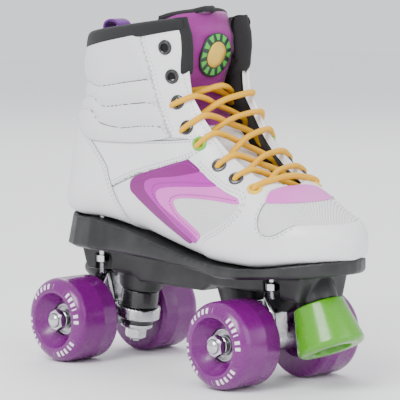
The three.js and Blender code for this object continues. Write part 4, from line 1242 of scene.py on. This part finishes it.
for index, (section, side) in enumerate(eyelets):
    for hand in (-1, 1):
        axis = eyelet_axis(section, hand * side)
        seat = front_point(section, hand * side)
        rim = turned("eyelet", eyelet_profile, seat, axis, sides=32)
        finished(rim, eyelet_finish[index], "frame", "boot_leather")
        # A near-black disc across each ring's bore stands for its hole: the black lining behind it and
        # painted shade.
        hole = turned("eyelet_hole_shade", [(0, 1.0), (2.45, 1.0), (2.45, 0.9), (0, 0.9)], seat, axis, sides=20)
        finished(hole, eyelet_lining_and_shade, "frame", "lining_fabric")


# ---- Shoelace ----
# A round golden braid of one length. It is tucked in under the top of the tongue, crosses down to
# the toe on both sides and comes back up; every crossing lies over the tongue.
outer_lace = -(lace_radius + clearance)
inner_lace = wall + lace_radius + clearance + facet_sag
over_cross = wall - 3.2
under_cross = wall + 1.4


def spot(section, side, inset):
    return section, side, inset, bridge_point(section, side, inset)


def eyelet_route(index, hand):
    section, side = eyelets[index]
    edge = throat_half(section) - 1.5
    axis = eyelet_axis(section, hand * side)
    hole = front_point(section, hand * side, wall / 2)
    reach = wall / 2 + lace_radius + clearance
    spacing = section - eyelets[index + 1][0] if index + 1 < len(eyelets) else 0.6
    over = hole + axis * (reach + 2 * clearance) / 1000
    under = hole - axis * reach / 1000
    return [
        spot(section - spacing * 0.18, hand * edge, outer_lace),
        (section, hand * side, outer_lace, over),
        (section, hand * side, inner_lace, under),
        spot(section + spacing * 0.1, hand * edge, inner_lace),
    ]


def crossing(first, hand):
    middle = (eyelets[first][0] + eyelets[first + 1][0]) / 2
    return spot(middle, 0, over_cross if hand > 0 else under_cross)


first_laced = 2
top_section = (eyelets[first_laced][0] + eyelets[first_laced - 1][0]) / 2 - 0.4
down, up = [], []
hand = 1
for index in range(first_laced, len(eyelets)):
    down += eyelet_route(index, hand)[::-1]
    up = eyelet_route(index, -hand) + up
    if index < len(eyelets) - 1:
        down.append(crossing(index, hand))
        up = [crossing(index, -hand)] + up
    hand = -hand
start_tuck = [spot(top_section + 0.35, -31, inner_lace),
              spot(top_section + 0.35, -throat_half(top_section), inner_lace),
              spot(top_section + 0.1, 0, under_cross)]
end_tuck = [spot(top_section - 0.25, 0, over_cross),
            spot(top_section - 0.1, throat_half(top_section), inner_lace),
            spot(top_section - 0.1, 31, inner_lace)]
spots = [*start_tuck, *down, spot(eyelets[-1][0] - 0.2, 0, outer_lace), *up, *end_tuck]
route = [spots[0][3]]
for a, b in zip(spots, spots[1:]):
    middle = bridge_point((a[0] + b[0]) / 2, (a[1] + b[1]) / 2, (a[2] + b[2]) / 2)
    same_hole = a[0] == b[0] and a[1] == b[1]
    if not same_hole and (middle - a[3].lerp(b[3], 0.5)).length * 1000 > lace_stray:
        route.append(middle)
    route.append(b[3])
lace_path = route
for _ in range(3):
    cut = [lace_path[0]]
    for a, b in zip(lace_path, lace_path[1:]):
        cut += [a.lerp(b, 0.22), a.lerp(b, 0.78)]
    lace_path = [*cut, lace_path[-1]]
lace = tube("braided_lace", lace_path, 2.15, 1.95, sides=14)
braid = Finish("lace_braid", (0.8, 0.42, 0.0), 0.55)
lace_x, lace_y, lace_z = braid.place()
strand_over = ((lace_x + lace_y * 1.4 + lace_z * 0.6) * 3.3).sine()
strand_under = ((lace_y * 1.2 - lace_x - lace_z * 0.8) * 3.3).sine()
weave = strand_over * strand_under
braid.relief(weave * 0.5 + 0.5, 0.3)
braid.tint((0.7, 0.26, 0.0), weave.spread(0.2, -0.9) * 0.4)
finished(lace, braid, "frame", "lace_cord", "shoelace")


# ---- Stitching ----
# Each seam is a row of short thread stitches on both sides of the boot, and a wide zigzag joins the
# eyestay to the collar.

def stitch_row(name, outline, finish, lift, length=1.9, pitch=2.8, shift=0.0, zigzag=0.0):
    """A row of thread stitches along a line of (x, z) pairs, on both sides."""
    path = rounded(outline, closed=False, fineness=16)
    stations = [0.0]
    for a, b in zip(path, path[1:]):
        stations.append(stations[-1] + (b - a).length)

    def along(distance):
        for i, station in enumerate(stations[1:], 1):
            if distance <= station:
                share = (distance - stations[i - 1]) / max(station - stations[i - 1], 1e-6)
                ahead = (path[i] - path[i - 1]).normalized()
                return path[i - 1].lerp(path[i], share), Vector((-ahead.y, ahead.x))
        return path[-1], Vector((0, 1))

    points, faces = [], []
    distance, flip = 0.0, 1
    while distance + length < stations[-1]:
        (a, across_a), (b, across_b) = along(distance), along(distance + length)
        a = a + across_a * (shift + zigzag * flip)
        b = b + across_b * (shift - zigzag * flip)
        flip = -flip
        for hand in (-1, 1):
            first, last = on_boot(a.x, a.y, hand, lift), on_boot(b.x, b.y, hand, lift)
            if not first or not last:
                continue
            (start, normal), (stop, _) = first, last
            if (stop - start).length > 2.5 * (length + 2 * abs(zigzag)) / 1000:
                continue
            ahead = (stop - start).normalized()
            across = ahead.cross(normal).normalized()
            base = len(points)
            points.append(start - normal * 0.0002)
            for share in (0.25, 0.75):
                centre = start.lerp(stop, share)
                for k in range(5):
                    turn = 2 * math.pi * k / 5
                    sideways, upward = math.cos(turn) * 0.00036, math.sin(turn) * 0.00032
                    points.append(centre + across * sideways + normal * upward)
            points.append(stop - normal * 0.0002)
            for k in range(5):
                after = (k + 1) % 5
                faces.append((base, base + 1 + after, base + 1 + k))
                faces.append((base + 1 + k, base + 1 + after, base + 6 + after, base + 6 + k))
                faces.append((base + 11, base + 6 + k, base + 6 + after))
        distance += pitch
    mesh = bpy.data.meshes.new(name)
    mesh.from_pydata(points, [], faces)
    return finished(new_piece(name, mesh), finish, "frame", "boot_leather")


def painted_shade_line(name, outline, finish, lift, width):
    """A thin dark cord of painted shade along a line on both sides of the boot: used for the shadow where
    the edge of one skin meets the next, and for the shade in the collar's creases.
    """
    path = rounded(outline, closed=False, fineness=10)
    lines = []
    for hand in (-1, 1):
        points, normals = [], []
        for flat in path:
            found = on_boot(flat.x, flat.y, hand, lift)
            if found and points and (found[0] - points[-1]).length > 0.01:
                points, normals = [], []
            if found and (not points or (found[0] - points[-1]).length > 0.0001):
                points.append(found[0])
                normals.append(found[1])
        if len(points) > 3:
            lines.append(tube(name, points, width, 0.25, sides=8, normal_of=normals))
    piece = joined(*lines)
    piece.name = name
    return finished(piece, finish, "frame", "boot_leather")


# Painted shadow: the seam_shade cords stand in for the shadow under the edges of the overlaid skins.
seam_shade = Finish("seam_shade", (0.2, 0.2, 0.21), 0.8)
# Painted shade: the crease_shade cords darken the collar's creases.
crease_shade = Finish("crease_shade", (0.1, 0.1, 0.105), 0.9)
for number, line in enumerate(creases):
    painted_shade_line(f"collar_crease_shadow_{number}", line, crease_shade, 0.2, 0.5)
painted_shade_line("collar_front_edge_shadow", collar_front, seam_shade, 0.75, 0.35)
painted_shade_line("ankle_edge_shadow", [(-77, 169), *ankle_edge], seam_shade, 0.6, 0.35)
painted_shade_line("counter_edge_shadow", counter_edge[1:-1], seam_shade, 0.65, 0.35)
painted_shade_line("quarter_edge_shadow", quarter_edge, seam_shade, 0.5, 0.3)
painted_shade_line("toe_edge_shadow", [(101.5, 122), *toe_edge[1:-1]], seam_shade, 0.7, 0.3)
white_thread = Finish("white_thread", (0.5, 0.5, 0.52), 0.7)
violet_thread = Finish("violet_thread", (0.3, 0.03, 0.3), 0.7)
stitch_row("collar_zigzag", collar_front, white_thread, 1.0, 1.6, 1.6, zigzag=2.2)
stitch_row("collar_seam_front", collar_front, white_thread, 1.0, shift=-3.6)
stitch_row("collar_seam_back", collar_front, white_thread, 0.9, shift=3.6)
stitch_row("ankle_seam_low", [(-77, 167.5), *ankle_edge], white_thread, 0.8, shift=-1.6)
stitch_row("ankle_seam_high", [(-77, 170.5), *ankle_edge], white_thread, 0.9, shift=1.4)
stitch_row("counter_seam_out", counter_edge[1:-1], white_thread, 1.0, shift=-1.4)
stitch_row("counter_seam_in", counter_edge[1:-1], white_thread, 1.0, shift=-3.6)
stitch_row("quarter_seam_low", quarter_edge, white_thread, 0.7, shift=1.4)
stitch_row("quarter_seam_high", quarter_edge, white_thread, 0.7, shift=3.4)
saddle_edge = [
    (52, 96), (57.5, 99.4), (68.5, 104.4), (79.5, 111.5), (85.2, 117.2), (85.8, 121.4), (83, 124.6),
    (72, 128), (56, 135.5), (44, 143.3),
]
stitch_row("saddle_seam_out", saddle_edge, white_thread, 1.0, shift=-1.4)
stitch_row("saddle_seam_in", saddle_edge, white_thread, 1.0, shift=-3.4)
toe_line = [
    (101.5, 122), (101.5, 119), (102, 113), (104.5, 106), (109, 102.6), (116, 103), (123, 107),
    (127, 109.6),
]
eyestay_line = [(23, 208), (24, 198), (29, 184), (36, 173), (45, 163), (54, 154), (62, 146)]
stitch_row("toe_seam", toe_line, white_thread, 1.0, shift=-1.5)
stitch_row("eyestay_seam", eyestay_line, white_thread, 1.0, shift=0)
band_stitches = [
    ("magenta_stitch", 0.9, [(-16, 128), (10, 137.2), (36, 144), (45, 140.5)]),
    ("magenta_stitch_low", 0.9, [(39, 93), (27, 98), (10, 108), (-12, 121)]),
    ("orchid_stitch", 0.75, [(61, 132.4), (26, 131), (4, 126.6), (4, 121.5), (18, 110), (44, 94.8)]),
    ("pink_stitch", 0.6, [(82, 122.8), (60, 124.2), (26, 122), (20.8, 118.6), (25, 111.4), (48.6, 97.6)]),
]
for name, lift, line in band_stitches:
    stitch_row(name, line, violet_thread, lift, length=1.6, pitch=2.4)


# ---- Floor and lights ----
# A plain pale floor under soft studio light: a large key to the camera's left, a weaker fill to
# the right and a strip from behind.
bpy.ops.object.select_all(action="DESELECT")
bpy.ops.mesh.primitive_plane_add(size=6, location=(0, 0, -0.0003))
floor = bpy.context.active_object
floor.name = "floor"
floor.data.materials.append(Finish("floor_paint", (0.93, 0.93, 0.935), 0.6).material)


def soft_light(name, size, power, place, target=(0, 0, 0.1)):
    data = bpy.data.lights.new(name, "AREA")
    data.size = size
    data.energy = power
    light = bpy.data.objects.new(name, data)
    light.location = place
    light.rotation_euler = (Vector(target) - light.location).to_track_quat("-Z", "Y").to_euler()
    bpy.context.scene.collection.objects.link(light)


soft_light("key", 1.1, 46, (0.5, -1.5, 1.5))
soft_light("fill", 1.6, 16, (1.8, 0.4, 1.0))
soft_light("back", 1.2, 14, (-1.2, 1.2, 1.4))
sky = bpy.data.worlds.new("studio")
sky.use_nodes = True
sky.node_tree.nodes["Background"].inputs["Color"].default_value = (0.95, 0.96, 1.0, 1)
sky.node_tree.nodes["Background"].inputs["Strength"].default_value = 1.2
bpy.context.scene.world = sky
